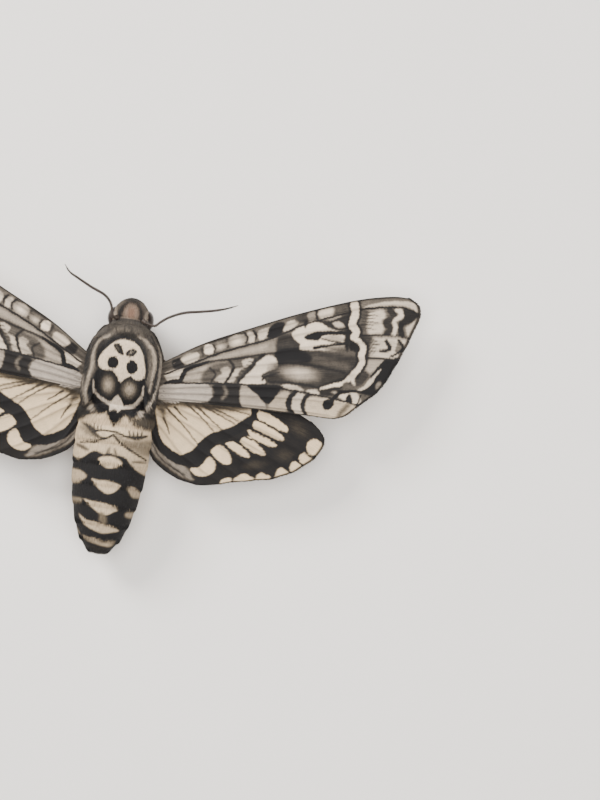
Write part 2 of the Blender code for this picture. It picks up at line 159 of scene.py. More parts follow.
@dataclass(frozen=True)
class Mark:
    """A mark on a wing or on the body, in millimetres from above on the right side.

    Attributes:
        tone: 0 for black scales to 1 for the palest.
        trace: its outline, its line or its middle, as pairs of X and Y.
        soft: the width over which its edge fades.
        warm: 0 for grey cream to 1 for straw, where the mark changes that.
        rust: how russet it is, where the mark changes that.
    """

    tone: float
    trace: str
    _: KW_ONLY
    soft: float = 0.25
    warm: float | None = None
    rust: float | None = None

    @property
    def points(self) -> np.ndarray:
        """The places on the trace."""
        return places(self.trace)

    def reach(self) -> float:
        """How far outside its own points the mark shows."""
        return self.soft + 1.0

    def inside(self, at: np.ndarray) -> np.ndarray:
        """How far each place is inside the mark's edge, negative outside it."""
        raise NotImplementedError

    def shade(self, at: np.ndarray) -> np.ndarray | float:
        """The mark's tone at each place."""
        return self.tone

    def lay(self, at: np.ndarray, paint: "Paint") -> None:
        """Lays the mark over the paint.

        Args:
            at: the places that are painted, in rows of X and Y.
            paint: the paint at those places.
        """
        low = self.points.min(0) - self.reach()
        high = self.points.max(0) + self.reach()
        near = np.flatnonzero(np.all((at > low) & (at < high), axis=1))
        if not len(near):
            return
        here = at[near]
        cover = smooth_step(-self.soft, self.soft, self.inside(here))
        paint.blend(near, cover, self.shade(here), self.warm, self.rust)


@dataclass(frozen=True)
class Patch(Mark):
    """A closed shape."""

    STEPS_A_KNOT = 6

    def inside(self, at: np.ndarray) -> np.ndarray:
        """How far inside the outline each place lies."""
        outline = smooth_path(self.points, self.STEPS_A_KNOT * len(self.points), True)
        closed = np.vstack([outline, outline[:1]])
        far, _ = distance_to_line(at, closed)
        crossings = np.zeros(len(at), int)
        for (x0, y0), (x1, y1) in zip(closed, closed[1:]):
            spans = (y0 > at[:, 1]) != (y1 > at[:, 1])
            where = x0 + (at[:, 1] - y0) / (y1 - y0 if y1 != y0 else 1e-12) * (x1 - x0)
            crossings += spans & (at[:, 0] < where)
        return np.where(crossings % 2 == 1, far, -far)


@dataclass(frozen=True)
class Stroke(Mark):
    """A line with a width at its start, middle and end."""

    widths: tuple[float, float, float] = (0.4, 0.4, 0.4)

    STEPS_A_KNOT = 5

    def reach(self) -> float:
        """How far outside its own points the stroke shows."""
        return self.soft + max(self.widths) + 0.6

    def inside(self, at: np.ndarray) -> np.ndarray:
        """How far inside the stroke's edge each place lies."""
        line = smooth_path(self.points, self.STEPS_A_KNOT * len(self.points))
        far, along = distance_to_line(at, line)
        return np.interp(along, HALVES, self.widths) / 2 - far


@dataclass(frozen=True)
class Spot(Mark):
    """An oval that may shade from its rim to its middle."""

    radii: tuple[float, float] = (1.0, 1.0)
    turn: float = 0.0
    middle: float | None = None

    def reach(self) -> float:
        """How far outside its middle the spot shows."""
        return self.soft + max(self.radii)

    def depth(self, at: np.ndarray) -> np.ndarray:
        """0 in the middle of the spot and 1 on its rim."""
        c, s = math.cos(math.radians(self.turn)), math.sin(math.radians(self.turn))
        off = (at - self.points[0]) @ np.array(((c, -s), (s, c)))
        return np.linalg.norm(off / np.array(self.radii), axis=1)

    def inside(self, at: np.ndarray) -> np.ndarray:
        """How far inside the rim each place lies."""
        return (1.0 - self.depth(at)) * min(self.radii)

    def shade(self, at: np.ndarray) -> np.ndarray | float:
        """The tone, from the rim's to the middle's where that is given."""
        if self.middle is None:
            return self.tone
        return self.middle + (self.tone - self.middle) * smooth_step(0.05, 1.0, self.depth(at))


@dataclass
class Paint:
    """Tone, warmth and russet at many places."""

    tone: np.ndarray
    warm: np.ndarray
    rust: np.ndarray

    @classmethod
    def ground(cls, count: int, tone: float, warm: float = 0.3, rust: float = 0.0) -> "Paint":
        """Plain paint for that many places."""
        return cls(*(np.full(count, value, float) for value in (tone, warm, rust)))

    def blend(self, near: np.ndarray | slice, cover: np.ndarray | float, tone: np.ndarray | float,
              warm: np.ndarray | float | None = None, rust: np.ndarray | float | None = None) -> None:
        """Mixes other paint in.

        Args:
            near: which places it reaches.
            cover: how much of it lies at each of them.
            tone, warm, rust: the other paint; a None leaves what is there.
        """
        for values, new in ((self.tone, tone), (self.warm, warm), (self.rust, rust)):
            if new is not None:
                values[near] += (new - values[near]) * cover

    def lay(self, at: np.ndarray, marks: Iterable[Mark]) -> "Paint":
        """Lays marks one over the other."""
        for mark in marks:
            mark.lay(at, self)
        return self

    def colours(self, along: np.ndarray | float = 1.0) -> np.ndarray:
        """The rows of four that a mesh keeps: tone, warmth, place along a hair, and russet."""
        rows = np.empty((len(self.tone), 4), np.float32)
        rows[:, 0], rows[:, 1], rows[:, 2], rows[:, 3] = self.tone, self.warm, along, self.rust
        return np.clip(rows, 0.0, 1.0)


COSTAL_ROW = (
    Patch(0.3, "9,3.2 18,8.1 25.3,12.1 38,18.2 47,21.4 46.1,18.8 39.5,16 32.9,12.4 24,8 13.3,2.4",
          soft=0.3),
    Patch(0.08, "10.1,2.9 11.8,3.9 12.8,2.1 10.8,1.4"),
    Patch(0.8, "11.9,3.9 14.9,5.6 15.6,4 12.9,2.8"),
    Spot(0.93, "17.5,6.5", (1.15, 1.15), soft=0.15),
    Spot(0.4, "19.8,7.5", (1.5, 1), 25, middle=0.72),
    Stroke(0.12, "16.4,7.5 20,9.2 22.6,10.5 24.6,11.1", (0.3, 0.5, 0.3)),
    Stroke(0.14, "15.9,6.7 16.2,5.9 16.4,5.2", (0.4, 0.7, 0.4), soft=0.3),
    Stroke(0.14, "18.1,7.7 18.8,6.8 18.6,6", (0.3, 0.4, 0.3), soft=0.2),
    Stroke(0.12, "20.9,9.3 21.5,8.4 21.3,7.5", (0.4, 0.45, 0.3), soft=0.2),
    Spot(0.55, "23.1,9.2", (2, 1.3), 25, middle=0.92),
    Spot(0.78, "25.9,10.3", (0.95, 1.2), 25),
    Stroke(0.03, "24.4,11.1 25.2,10.2 25.1,9", (0.3, 0.5, 0.2)),
    Stroke(0.05, "26.3,11.8 27,10.7 26.9,9.8", (0.5, 0.5, 0.2)),
    Patch(0.8, "27.3,11.7 29.7,13 29.2,10.9 27.8,10.1"),
    Patch(0.02, "29.8,13.3 32.4,14.5 32,11.8 29.4,10.8"),
    Patch(0.8, "32.6,12.6 33,14.4 34.6,15.4 35.5,15.2 34.7,13.8"),
    Patch(0.16, "34.6,15.7 36.6,17.4 37.5,16.5 36.8,15.1 35.4,14.9", soft=0.5),
    Patch(0.5, "37.1,17 38.7,17.8 38.8,16.2 37.7,15.7"),
    Stroke(0.04, "39,18.1 38.9,17 39.4,16", (0.4, 0.4, 0.3)),
    Patch(0.82, "39.4,17.9 41.9,19 43.2,18.7 41.8,17.1 39.9,16.5"),
    Patch(0.22, "42.6,19.3 46.1,20.7 46.2,18.4 43.2,17.4", soft=0.5),
)
LONG_CELL = (
    Patch(0.46, "14.6,2.4 19,5.4 24,7.7 29.4,10.1 31.5,11.1 32.2,9.2 31.4,7.9 28.9,7.2 24.3,6.1 21.7,5.1 "
          "17.5,4"),
    Patch(0.6, "19,4.9 24,7 29,9.3 29.4,8.3 24,6.5 20,4.9", soft=0.6),
    Patch(0.13, "31.6,11.2 34.1,12.1 36,11 36.7,8.7 32,8", soft=0.5),
    Patch(0.02, "31.8,8.3 36.8,9.5 38,6.9 32.5,5.8"),
    Patch(0.78, "9,0.3 13.4,1.9 12.5,-0.2 10.2,-1.5"),
    Patch(0.58, "13.2,-1.1 13.8,1 17.6,3.4 21.4,4.7 22.7,3.9 21,1.2 19.5,-0.4", soft=0.5),
    Patch(0.25, "17,-0.6 18,2.9 22,4.7 27,6.6 26.5,4.5 24.3,0.4", soft=0.5),
    Stroke(0.02, "9.6,-1.9 11.3,-1.2 12.5,-0.8 12.8,0.5 13.4,1.6 14.8,2.5 17.6,3.8",
           (0.9, 0.95, 0.5), soft=0.15),
    Patch(0.7, "20.4,2.7 22,3.4 22.8,2.8 22.3,1.2 21.3,-0.1 19.5,0.4 20.9,1.8"),
    Patch(0.72, "24.8,5 26.2,6 27.4,5.6 26.4,4.3 24.7,3.1 24.3,1.9 23.5,0.4 22.2,0.3 23,1.9 23.4,3.1 "
          "25.1,3.9"),
    Patch(0.84, "27.5,4.8 29.5,6.9 31.8,6.8 32.5,4.6 30.9,3.6 29.7,2.7 30.3,1.1 24.9,0.3 26.3,2.6 27.2,4"),
    Stroke(0.1, "18.2,2.7 19.6,1.6 19.2,0.4 18.9,-0.5", (0.3, 0.4, 0.3)),
    Stroke(0.06, "22.1,4.8 23.2,3.8 23.1,2.9 22.7,1.7 22,0.1", (0.4, 0.6, 0.4)),
    Stroke(0.06, "29.2,7.1 27.6,5.5 27.1,4.3 25.9,2.7 24.5,0.4", (0.7, 0.8, 0.5)),
    *(Stroke(0.14, f"{x},{y} {x - 0.7},{y + 0.1} {x - 1.3},{y + 0.1}", (0.4, 0.3, 0.1), soft=0.18)
      for x, y in places("28,5.9 27.4,5.1 27.1,4.3 26.6,3.6 26,2.9 25.6,2.2 25.1,1.4")),
    Stroke(0.08, "17.6,3.9 21.7,5 24.6,5.7 29.1,7.2 31.6,7.8", (0.35, 0.3, 0.2)),
    Stroke(0.08, "32.6,4.4 30.4,3.4 29.5,2.6 30.3,2 30.5,1.1", (0.3, 0.5, 0.3)),
)
DARK_FIELD = (
    Patch(0.14, "31.8,7.5 36.6,9 41.3,9.5 47,9.6 48.9,9.3 49.1,8.1 47.7,5.8 46.2,4 43.9,2.9 41.6,1.6 "
          "35.4,1.6 31,1.2 30.8,3.4 32.6,5", soft=0.3),
    Patch(0.24, "38.6,6.8 44.2,6.6 47,6.4 47,7.8 41,8.4 38.8,8", soft=0.6),
    Patch(0.02, "31.8,8.3 34.6,8.8 37.6,8.9 39.4,7.6 37.6,6.5 33,5.6", soft=0.45),
    # painted highlight: a pale oval on the dark field, palest in its middle and dark at its rim
    Spot(0.14, "37.2,4.2", (6.2, 2.5), 2, middle=0.78, soft=0.8),
    Stroke(0.08, "32.8,3.9 31.4,3.1 30.2,2.5 29.6,1.8", (0.25, 0.4, 0.5), soft=0.2),
    Stroke(0.05, "32.5,5.9 38.8,6.3 44.2,6 47.3,5.6", (0.3, 0.45, 0.3)),
    Stroke(0.06, "31,1.6 35.4,1.9 39,2 42,1.8", (0.4, 0.5, 0.3)),
    Patch(0.82, "33.5,0.9 34.6,1.5 36.7,1.6 38.6,0.9 36,0.6"),
    Patch(0.82, "39.1,0.8 40.6,1.4 42,1.4 41.8,0.3 39.7,0.5"),
)
FORKED_MARK = (
    Patch(0.9, "34.4,12.5 35.7,13.8 38.1,15.5 40.4,15.4 42.6,14.5 45.9,14.4 46.8,13.9 47.2,12.4 46.1,11.4 "
          "46.6,10.2 41.2,9.8 36.7,9.3 36.4,10.4 35,11.4", soft=0.2, warm=0.35),
    Patch(0.22, "42,10.4 46.6,11.4 47.4,9.6 43,9.9", soft=0.9),
    Patch(0.1, "39.5,16 41,16 42.5,16.4 45.8,18.2 46.5,16 45.8,14.7 43,14.7 41.2,15.2", soft=0.2),
    Patch(0.7, "42.6,15.8 44.1,16.4 45.3,15.4 43.8,15"),
    Patch(0.55, "40.3,16.5 42.6,17.3 44.2,17.5 42.4,16.5"),
    Patch(0.02, "37,11.9 39.5,13.5 45.9,14.6 46.7,14.3 46,13.8 43.2,13.4 41,12.9 40.1,11.8 38.7,11.6",
          soft=0.18),
    Patch(0.62, "41.2,12.6 43.7,13.4 45.9,12.9 44.8,12.2 42.5,12.3", soft=0.3),
    Stroke(0.03, "39.6,10.1 43.5,11.3 46.2,11.9", (0.75, 0.45, 0.5), soft=0.15),
    Stroke(0.05, "40.9,12.2 43.4,12 46.3,11.8", (0.3, 0.35, 0.6)),
    Stroke(0.06, "37,15.3 37,14.1", (0.8, 0.6, 0.3)),
    Patch(0.05, "45.9,15.6 46.7,14.9 47.3,13.6 46.9,12.4 46.5,10.4 45.6,12 45.6,14", soft=0.35),
)
WAVE = ("46.6,20.5 47.1,18.5 46.8,16.8 46.9,15.8 47.9,14.7 47.5,13.4 48.6,12.6 49.8,11.5 49.6,9.9 50,8.7 "
        "49.6,7.4 48.9,6.1 47.9,4.7 46.3,3.4 43.9,2.5 42.2,1.6")
WAVE_LINE = (
    Stroke(0.06, WAVE, (2.8, 2.5, 1.6), soft=0.3),
    Stroke(0.9, WAVE, (1.7, 1.35, 0.7), soft=0.15, warm=0.35),
    Patch(0.86, "49.2,7.4 48.9,4.9 49.3,3.2 47.9,4.3 46.6,3.5 47.4,5.2"),
    Patch(0.04, "47,12.9 49,11.8 48.7,10.7 47.5,10.6 46.8,11.5", soft=0.18),
)
OUTER_CELLS = (
    Patch(0.32, "47.8,21.2 54,22.9 58.5,23.7 61,22.4 61.2,19 59.6,14.8 58,10.2 56,6 51.4,2 49.2,3.2 "
          "50.1,6.5 50.6,9.2 50.3,11.6 48.7,13.5 48.4,15.5 47.8,18.4"),
    Patch(0.78, "48.6,20 50.3,21 54,22.2 58,22.7 59.9,22.2 60.7,20.7 59.9,20.9 57.8,21.6 54.1,21.3 "
          "50.4,20.3", soft=0.2),
    Patch(0.8, "49.3,19 50.5,19.6 52.8,20.2 53.5,18.8 52.9,17.7 53.5,16.6 53.1,15.1 50,14.7 49,15.7 "
          "48.9,17.3", soft=0.45),
    Patch(0.22, "48.6,18.9 49.9,19.3 49.8,16.5 50.2,14.5 48.4,15.4", soft=0.5),
    Stroke(0.12, "54.3,20.3 55.4,19.1 54.2,18.1 53.9,17.2 55,16.7 54.3,15.3", (1.3, 1.4, 1.2)),
    Stroke(0.84, "56,20.7 57,19.8 56.1,18.8 55.5,17.9 56,16.9 55.8,15.4", (1.3, 0.9, 0.9), soft=0.2),
    Patch(0.07, "57.1,20.9 60,20.7 60.3,19.6 59.4,18.5 57.9,17.6 57.6,16.8 58.3,15.2 57,15.2 56.5,17.8 "
          "57.5,19.4", soft=0.2),
    Patch(0.74, "60.4,19.8 61,19.1 59.5,14.9 58.7,15.6 58.2,17.2 59.5,18.5"),
    Patch(0.78, "51.3,13.8 54.4,14.5 57.7,14.7 59,14.2 57.5,10.5 51.6,9.9 51,11.9", soft=0.5),
    Patch(0.12, "48.8,14.2 51.3,13.9 50.8,11.7 51.2,9.8 50.3,9.7 50.2,11.6", soft=0.5),
    Stroke(0.04, "54.4,13.7 55.4,12.5 54.9,11.8 53.4,11.4", (0.7, 0.85, 0.45), soft=0.15),
    Patch(0.34, "57.1,14.3 58.1,13.2 57.8,12.1 56.9,11.5 56.6,12.3 56.8,13.6", soft=0.2),
    Stroke(0.06, "57,14.3 58.1,13.2 57.8,12.1 56.9,11.3 55.6,10.5", (0.5, 0.55, 0.25), soft=0.12),
    *(Stroke(0.16, f"48.7,{y} 50,{y + 0.1} {50.9 + reach},{y + 0.3}", (0.35, 0.25, 0.05), soft=0.15)
      for y, reach in places("19.2,0.3 18.5,1 17.8,0.6 17.1,1.2 16.4,0.4 15.7,1")),
    *(Stroke(0.16, f"50.4,{y} 51.4,{y + 0.1} {52.2 + reach},{y + 0.2}", (0.5, 0.4, 0.15), soft=0.2)
      for y, reach in places("13.3,0.2 12.6,0.8 11.9,0.3 11.2,0.7 10.5,0.2")),
    Patch(0.6, "51.2,9.2 54.6,9.6 53.6,8.2 52.2,6.5 50.9,7.2", soft=0.35),
    Patch(0.15, "49.6,6.9 51.8,6.1 50.4,3.6 49.3,3.5", soft=0.3),
    Patch(0.02, "55.1,9.9 57.9,10.1 57.2,8.1 55.7,4.8 53.9,2.3 51.4,1.8 50.5,2.5 52.3,4.5 52.4,5.9 54,8.1",
          soft=0.2),
    Stroke(0.78, "54.2,7.6 52.9,5.8 52.3,4.6 51.3,3.3 49.6,2.2", (0.25, 1.1, 0.3), soft=0.15),
    Patch(0.4, "54.3,5.1 55,4.1 53.9,3.1 53.5,4.3", soft=0.3),
    Stroke(0.04, "47.8,19.4 50.4,20.2 54.2,20.9 57.2,21.2 59.9,20.6", (0.3, 0.35, 0.3), soft=0.12),
    Stroke(0.05, "49,14.1 54,14.9 58.1,15.2 59.8,14.7", (0.35, 0.3, 0.25), soft=0.12),
    Stroke(0.05, "50.4,9.5 55.5,10.1 58,10.3", (0.35, 0.3, 0.25), soft=0.12),
    Stroke(0.04, "55,9.9 53.6,7.8 52.4,5.8", (0.3, 0.5, 0.5), soft=0.12),
)
INNER_MARGIN = (
    Patch(0.62, "9,-2.2 18,-0.9 19.4,-2.6 18.7,-4.5 9,-5.7", warm=0.1),
    Patch(0.08, "19.5,-0.7 24.8,0 25.6,-2.1 26.1,-4.6 19.2,-5 20,-2.6", soft=0.3),
    Stroke(0.36, "21.8,-0.9 22.5,-2 21.8,-3.4", (0.6, 0.8, 0.6), soft=0.4),
    Patch(0.6, "25.3,-0.3 27.4,0.1 29.4,-1.9 31,-3.5 31,-4.4 26.2,-4.5", soft=0.3),
    Patch(0.62, "31.8,-3 33.6,-0.5 35.6,0 35.5,-4.1 31.8,-4.3", soft=0.4, warm=0.5),
    Patch(0.02, "26.8,0.3 33.8,1.1 33.5,0.1 32,-2.7 30.9,-3 29.2,-1.6", soft=0.2),
    Patch(0.74, "36.6,0 38.8,0.1 38.4,-2.2 39.2,-4.2 37,-4.2 36.4,-2"),
    Stroke(0.05, "37,0.3 35.9,-1.3 35.9,-3.1 37.1,-4.3", (0.8, 1.2, 0.7)),
    Patch(0.74, "39.9,-0.4 45.2,-0.2 50,-0.9 48.4,-3 46.5,-4 40.4,-4.3 39.4,-2.3", soft=0.3, warm=0.55),
    Stroke(0.06, "39.8,0.2 38.9,-1.3 38.9,-2.9 39.8,-4.4", (0.6, 0.85, 0.6)),
    Stroke(0.34, "48.3,-1 47.2,-2.6 46.6,-3.9", (0.9, 1.1, 1), soft=0.5, warm=0.7),
    Patch(0.1, "42,1.3 44.8,2.1 46.8,2 45,0.7 42.4,0.4", soft=0.2),
    Spot(0.12, "45.1,1.4", (1.1, 0.5), 8, middle=0.6, soft=0.2),
    Patch(0.24, "46.6,2.7 47.2,3.9 49.2,3.2 48.4,2.4"),
    Patch(0.84, "45.9,0.5 47.4,1.5 49.8,1.9 50.9,0.4 50,-0.7 48,-0.1", soft=0.2),
    Patch(0.04, "48.2,1.5 49.2,-0.2 47.7,-0.2", soft=0.15),
    Stroke(0.05, "50.7,1.5 50.5,0.5 50.2,-0.8", (0.3, 0.3, 0.3), soft=0.12),
    Stroke(0.05, "33.6,0.5 42.2,0.2 45.1,-0.1 47.8,-0.3 50.7,-0.7", (0.3, 0.3, 0.3), soft=0.12),
    Spot(0.02, "44.1,-1.4", (1.25, 1.05), 40, soft=0.18),
    Stroke(0.03, "44.3,-1.1 45.1,0 46.2,1.3 48.1,2 50.6,2.3", (1, 0.6, 0.5), soft=0.18),
    Stroke(0.05, "9.2,-1.9 19.3,-0.5 27,0.3 33.6,0.6", (0.3, 0.35, 0.3), soft=0.12),
)
# The upper side of the right forewing, from the lowest layer up.
FOREWING_MARKS = (
    *LONG_CELL, *DARK_FIELD, *COSTAL_ROW, *FORKED_MARK, *OUTER_CELLS, *WAVE_LINE, *INNER_MARGIN,
    Stroke(0.05, "8.9,-0.1 13.3,2.4 18.6,5.4 24,8 29.4,10.3 32.9,12.3 35.7,14.1 39.5,15.9 46.1,18.7",
           (0.3, 0.35, 0.3), soft=0.12),
)
BAND = ("28.9,-4.3 29,-6.2 28.1,-7.2 26.5,-8.7 24.4,-10.3 21,-12.1 19.2,-14.1 18,-16.6 "
        "15.1,-17.6 12.3,-16.7 9.7,-14.8 8.4,-12.3")
# The upper side of the right hindwing, from the lowest layer up.
HINDWING_MARKS = (
    Patch(0.84, "8.6,-6 19,-4.6 29.4,-4.2 28.5,-6.6 24.4,-10 20.6,-12 17.6,-16.8 14.6,-17.2 10.6,-15 "
          "8.9,-11", soft=0.3),
    # painted shade: a soft darker band just behind the forewing's trailing edge, where the forewing shades
    # the hindwing
    Patch(0.28, "8.4,-5 19,-4.4 29,-4.2 24.5,-5.6 18.5,-6.1 12,-6.4 9,-7.6", soft=0.6),
    *(Stroke(0.2, fan, (0.55, 0.28, 0.2), soft=0.16) for fan in (
        "9.6,-6.5 14,-10 18.1,-13.8", "14.3,-5.5 17.8,-7.9 21.4,-11", "16.5,-5.7 19.9,-8.1 22.8,-10",
        "18,-5.5 21.8,-7 25.1,-8.3", "19,-5.5 22.8,-6.5 25.8,-7.7", "20.1,-5.3 24.2,-5.5 27.9,-5.9",
        "10,-9.3 10.9,-10.8 11.7,-12.4", "12,-6.6 13.6,-8 15,-9")),
    *(Spot(0.04, place, radii, turn, middle=0.15, soft=0.8) for place, radii, turn in (
        ("38.8,-7.4", (4.4, 2.4), -35), ("36.6,-13.4", (3.4, 2.2), 10), ("30.6,-16.4", (4.0, 1.6), 15))),
    # painted shade: grey along the hindwing's root beside the body, fading away from it
    Stroke(0.3, "8.9,-5 9.3,-7.2 10.3,-9.6", (1.4, 1.5, 0.3), soft=0.7),
    Patch(0.42, "7,-12.4 8.7,-17 12.2,-19.5 15.5,-21.2 18.2,-21.6 17.5,-20.6 16.3,-18.9 12.4,-17 "
          "9.2,-14.6", soft=0.4, warm=0.25),
    Stroke(0.18, "7.9,-14.5 11,-18.2 16,-20.6", (0.2, 0.5, 0.4), soft=0.3),
    Stroke(0.03, BAND, (1.5, 2.5, 1.6), soft=0.2),
    Stroke(0.03, "19.4,-13.9 18,-16.3 15.6,-17.5", (2.6, 3.1, 2.4), soft=0.2),
    *(Patch(0.88, finger, soft=0.16) for finger in (
        "29.7,-5.1 31.4,-5 34.2,-6.1 36.4,-7.5 36.2,-8.5 34.5,-8.2 31.7,-7.2 29.8,-6.5",
        "29.5,-7 31.7,-7.6 34.6,-8.8 36,-10 35.2,-10.5 33.2,-10 30.7,-9.2 28.9,-8.4",
        "27.9,-9.2 29.4,-9.3 32.2,-10.3 34.5,-11.4 34,-12 31.3,-11.6 29.1,-10.7",
        "26.7,-11.6 28.5,-10.5 30.6,-11.9 32.5,-13.5 32.1,-14.1 30.1,-13.8 28.1,-12.8",
        "23.8,-12.7 25.6,-12.1 27.3,-12.8 29.1,-14.4 28.9,-15.1 27.1,-14.7 25.2,-13.8",
        "20.9,-14.7 22.6,-13.2 24.3,-14 25.4,-15.6 25.3,-17 23.8,-17.1 22.1,-16.1",
        "17.1,-19.1 19.1,-18.3 20.6,-16.1 21.9,-16.6 22.4,-18.1 21.6,-19.7 19.4,-20.5 18.1,-20.2")),
    *(Patch(0.86, spot, soft=0.16) for spot in (
        "35.2,-17.5 35.9,-16.1 36.9,-16.3 38.1,-17.3 35.4,-18.8",
        "31.2,-18.9 32,-17.8 33.3,-18 34.4,-18.7 31.7,-19.8",
        "26.7,-19.8 28.2,-18.6 29.5,-18.7 30.9,-19.6 26.9,-20.7",
        "23.7,-21.2 24.5,-20.1 25.8,-19.8 26.1,-20.5 23.9,-21.7")),
    *(Spot(0.86, place, (size, size), soft=0.16) for place, size in (
        ("42.6,-10.8", 1.75), ("41.1,-13.6", 1.5), ("39.3,-15.6", 1.35))),
    *(Stroke(0.03, line, (0.7, 0.4, 0.35), soft=0.12) for line in (
        "39.9,-11.2 41.5,-12.5 43.5,-13.4", "38.6,-13.6 40.1,-14.7 41.6,-15.5",
        "36.9,-15.6 38,-16.7 38.5,-17.5")),
    *(Stroke(0.03, line, (0.3, 0.3, 0.25), soft=0.12) for line in (
        "29.6,-6.8 31.7,-7.4 34.6,-8.5 37.2,-10", "28.2,-8.9 31,-9.8 34.6,-11",
        "27.6,-10.6 30.8,-11.6 33.6,-12.9", "25.9,-12 28,-13.1 30.6,-14.6", "23,-13 25.1,-14.4 27.6,-16",
        "20.6,-15.2 22.4,-17 24,-18.6")),
)
HINDWING_UNDERSIDE = (
    Stroke(0.22, "29.5,-4.3 27,-9 20,-13.5 15,-18 9,-14", (0.9, 1.3, 0.9), soft=0.4),
    Patch(0.25, "38,-3.8 45,-8.6 44,-12 36,-18.6 22,-22 21,-20 33,-15.6 38.6,-9", soft=0.8),
)
FOREWING_UNDERSIDE = (
    Stroke(0.25, "44.5,21 46.6,15 48.8,10 46.2,3 41,-4", (0.8, 1.2, 0.9), soft=0.4),
    Stroke(0.3, "29,14 32,6 31,-4", (0.8, 1, 0.7), soft=0.5),
    Patch(0.3, "57,24 61.4,22 61,17 56,5 48,-4 50.6,4 56.4,14", soft=0.9),
)
# The skull and the rings round it, seen from above.
THORAX_MARKS = (
    Stroke(0.24, "-7.2,5.8 -5.1,8 -2.3,9.6 0.2,10 3.1,9.2 5.5,7.3", (1.6, 2.6, 1.6), soft=0.6),
    Stroke(0.06, "-6.6,7.2 -5.2,8.8 -3.8,9.7 -2.2,10.3 -0.6,10.6 1.5,10.4 3.6,9.7 5.4,8.5 6.6,7.2",
           (0.5, 0.7, 0.5), soft=0.35),
    Stroke(0.42, "-4.2,6.1 -3,7.4 -1.3,8.3 0.4,8.2", (0.7, 1.4, 0.8), soft=0.6),
    Stroke(0.36, "1.4,8.4 2.9,7.7 3.9,6.9", (0.8, 1.2, 0.8), soft=0.6),
    *(Stroke(0.2, hatch, (0.1, 0.3, 0.1), soft=0.2) for hatch in (
        "-1.9,6.6 -2.7,8.6", "-0.5,6.9 -0.8,9", "0.8,6.8 0.9,8.8", "1.9,6.4 2.6,8.2", "3.2,5.8 4,7.2")),
    # painted shadow: a dark strip down the thorax's outer left side, where the hood and the flap shade it
    Stroke(0.1, "-8,4.1 -8.1,1.6 -8.3,-0.9", (0.8, 1.2, 0.8), soft=0.4),
    Stroke(0.44, "-8.3,-2.9 -8.1,-4.9 -7.7,-6.5", (0.5, 0.8, 0.5), soft=0.4),
    Stroke(0.3, "-6,1.4 -5.8,-0.6 -6.1,-2.6", (0.6, 1, 0.6), soft=0.4),
    Stroke(0.68, "-3.8,6.3 -5.3,5.5 -6.3,3.7 -6.6,1.4 -6.5,-0.6 -6.8,-2.3 -7,-4.4 -7.2,-6.4 -6.6,-8 "
           "-5,-9.6", (0.5, 0.9, 0.7), soft=0.4, warm=0.35),
    Stroke(0.36, "4,6.2 5.2,4.4 5.8,1.6 5.9,-0.9 5.7,-2.9", (0.7, 1.1, 0.7), soft=0.5),
    Stroke(0.68, "2.6,7.1 4.4,6.1 5.9,4.5 6.7,2.5 6.9,0.9 6.7,-0.7 6.6,-2.8 6.4,-4.6",
           (0.5, 1.1, 0.4), soft=0.4, warm=0.35),
    Stroke(0.55, "5.6,6.9 7.2,4.7 7.9,2.3 8.2,-0.5 8.1,-3 7.6,-5.4", (0.3, 0.8, 0.4), soft=0.3),
    Stroke(0.08, "5,7.6 6.6,5.4 7.4,3.1 7.6,0.4 7.4,-1.9 7.3,-4.3", (0.3, 0.4, 0.3), soft=0.18),
    Stroke(0.74, "7.9,-4.4 7.2,-6.6 5.9,-8.4 4,-10.1", (0.3, 0.7, 0.7)),
    Patch(0.02, "-6.6,-5.7 -5.9,-4.2 -5.2,-1.4 -2.5,-0.6 1.8,-1 4.8,-1.8 5.9,-4.3 6.7,-5 6.3,-6.9 "
          "4.9,-8.8 2.7,-10.3 1.1,-10.8 -0.2,-12 -1.3,-10.9 -3.6,-9.4 -5.4,-7.8"),
    Stroke(0.05, "-5.1,-0.4 -5.5,1.2 -5,2.9 -3.7,4.7 -2.1,5.9 -0.7,6.4 1.1,6.1 2.9,5.2 4.1,3.4 4.8,1.4 "
           "5.2,-1 4.7,-2.5", (0.7, 0.7, 0.7)),
    Stroke(0.76, "-5.7,-3.6 -5.2,-5.8 -3.7,-7.2 -1.6,-7.9", (0.25, 0.7, 0.7), soft=0.2),
    Stroke(0.8, "5,-3.4 4.9,-5.6 3.6,-7.7 1.2,-8.4", (0.25, 0.8, 0.8), soft=0.2),
    Patch(0.88, "-1.5,-7.9 -0.4,-6.1 0.5,-6.4 1.3,-8.1 0.7,-9.2 -0.2,-8.9 -1.4,-9.2", soft=0.18),
    Spot(0.06, "-2.5,-4.1", (2.2, 3), 10, middle=0.66, soft=0.2, warm=0.45),
    Spot(0.06, "2.2,-4.5", (2.4, 2.7), -8, middle=0.66, soft=0.2, warm=0.45),
    Patch(1, "-0.7,5.9 1,5.8 2.5,5.2 3.6,4.1 4.4,2.2 5,-0.2 4.9,-1.6 3.8,-2.2 2.9,-2.1 2.1,-1.6 1.1,-2.2 "
          "0,-3.2 -0.7,-2.2 -1.7,-1.1 -2.6,-0.9 -4,-1 -4.9,-0.4 -5.3,0.6 -5,1.9 -4.4,3 -3.3,4.4 -2,5.4",
          soft=0.14, warm=0.45),
    Patch(0.08, "-2.6,4.5 -1.9,4.9 -0.8,4.4 0,2.7 -0.9,2.7 -1.9,3.5", soft=0.12),
    Stroke(0.32, "-2,4.3 -1.5,4 -1.1,3.5", (0.15, 0.4, 0.15), soft=0.15),
    Patch(0.1, "0.3,3 1,3.9 2.1,4.3 2.7,3.7 2.3,2.9 1.2,2.4", soft=0.12),
    Stroke(0.5, "1.1,3.1 1.6,3.5 2.1,3.6", (0.2, 0.5, 0.2), soft=0.15),
    Spot(0.01, "-2.1,0.8", (1.2, 1.3), 12, soft=0.12),
    Spot(0.01, "2.1,0.3", (1.2, 1.5), 12, soft=0.12),
)
